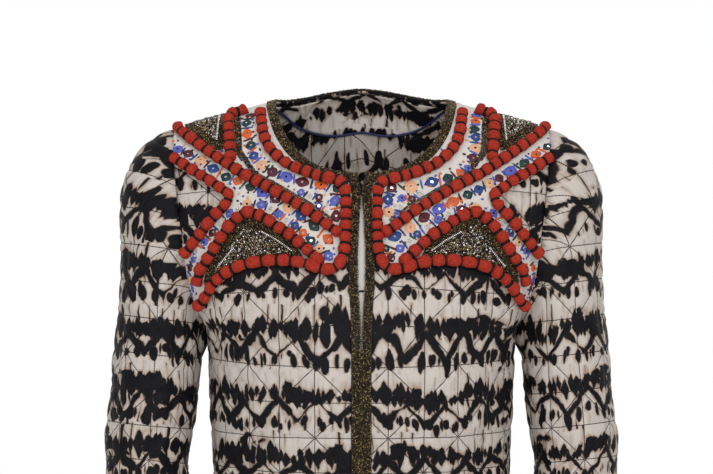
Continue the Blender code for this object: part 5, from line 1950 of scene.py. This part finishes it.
# %% [markdown]
# ## Behind the front opening
# The two front edges stand a few millimetres apart. A narrow strip of pale cotton is sewn inside
# one of them and shows between the two, and a short thread bar holds them together lower down.
# Both are laid on the inner side of the body's cloth, so they follow its shape.

# %% Underlap and thread bar
UNDERLAP_HALF = 0.011
UNDERLAP_TOP, UNDERLAP_END = 0.126, 0.330
UNDERLAP_THICK = 0.0006
BAR_DOWN, BAR_HALF = 0.2215, 0.0085
corners = [(-UNDERLAP_HALF, UNDERLAP_TOP), (UNDERLAP_HALF, UNDERLAP_TOP),
           (UNDERLAP_HALF, UNDERLAP_END), (-UNDERLAP_HALF, UNDERLAP_END)]
cut_underlap = resampled(corners + corners[:1], 0.0037)[:-1]
uv, triangles = filled(cut_underlap, 0.004)
underlap = mesh_piece("cotton_underlap", lifted(body_cloth, uv, -WALL / 2 - 0.0016), triangles, uv)
face_out(underlap, (0, -1, 0))
thicken(underlap, UNDERLAP_THICK)
sew(underlap, cotton.material)
across_gap = np.array([(u, BAR_DOWN) for u in np.linspace(-BAR_HALF, BAR_HALF, 7)])
piping("thread_bar", across_gap, -WALL / 2 - 0.0002, 0.0009, black_thread.material)

# %% [markdown]
# ## The studio
# The jacket was shot on a white ground under broad soft lamps. The world is white behind the jacket
# and greyer in front of it, as a studio is beyond its backdrop, so that the lamps draw the folds:
# a key lamp above and to the viewer's right, a weaker one that opens the left side, and a faint
# one from above.

# %% Floor and backdrop
bpy.ops.object.select_all(action="DESELECT")
bpy.ops.mesh.primitive_circle_add(vertices=96, radius=2.4, fill_type="NGON", location=(0, 0, -0.66))
floor = bpy.context.object
floor.name = "studio_floor"
pale = Finish("pale floor", (0.80, 0.80, 0.79), 0.85)
pale.bump(pale.noise(pale.place(), 60, 3), 0.05, 0.001)
floor.data.materials.append(pale.material)

FRONT_GREY = 0.40  # the world's strength in front of the jacket, where 1 is white
world = bpy.data.worlds.new("white studio")
world.use_nodes = True
sky = world.node_tree.nodes
side_on = sky.new("ShaderNodeSeparateXYZ")
fall = sky.new("ShaderNodeMapRange")
for socket, value in (("From Min", -0.35), ("From Max", 0.75), ("To Min", FRONT_GREY)):
    fall.inputs[socket].default_value = value
links = world.node_tree.links
links.new(sky.new("ShaderNodeTexCoord").outputs["Generated"], side_on.inputs[0])
links.new(side_on.outputs["Y"], fall.inputs["Value"])
links.new(fall.outputs[0], sky["Background"].inputs["Strength"])
sky["Background"].inputs["Color"].default_value = (1, 1, 1, 1)
bpy.context.scene.world = world
bpy.context.scene.view_settings.view_transform = "Standard"

# %% Lamps
TARGET = Vector((-0.005, -0.05, -0.124))  # the middle of what the photograph shows


def lamp(name, at, size, power):
    """A square soft lamp that faces the jacket."""
    data = bpy.data.lights.new(name, "AREA")
    data.size = size
    data.energy = power
    obj = bpy.data.objects.new(name, data)
    obj.location = at
    obj.rotation_euler = (TARGET - Vector(at)).to_track_quat("-Z", "Y").to_euler()
    bpy.context.scene.collection.objects.link(obj)
    print(name, power, "W")


lamp("key lamp", (0.8, -2.7, 1.15), 1.2, 34)
lamp("fill lamp", (-1.1, -2.9, 0.1), 1.4, 21)
lamp("top lamp", (0.1, -1.1, 2.1), 1.0, 8)

# %% Camera
PITCH = np.radians(3.0)
CAMERA_AWAY = 4.0
camera = bpy.data.objects.new("camera", bpy.data.cameras.new("camera"))
camera.data.sensor_width = 36
camera.data.lens = 202
camera.data.clip_start = 0.1
camera.data.clip_end = 60
camera.location = TARGET + Vector((0, -np.cos(PITCH), np.sin(PITCH))) * CAMERA_AWAY
camera.rotation_euler = (np.pi / 2 - PITCH, 0, 0)
bpy.context.scene.collection.objects.link(camera)
bpy.context.scene.camera = camera
print("camera at", [round(x, 2) for x in camera.location])

# %% [markdown]
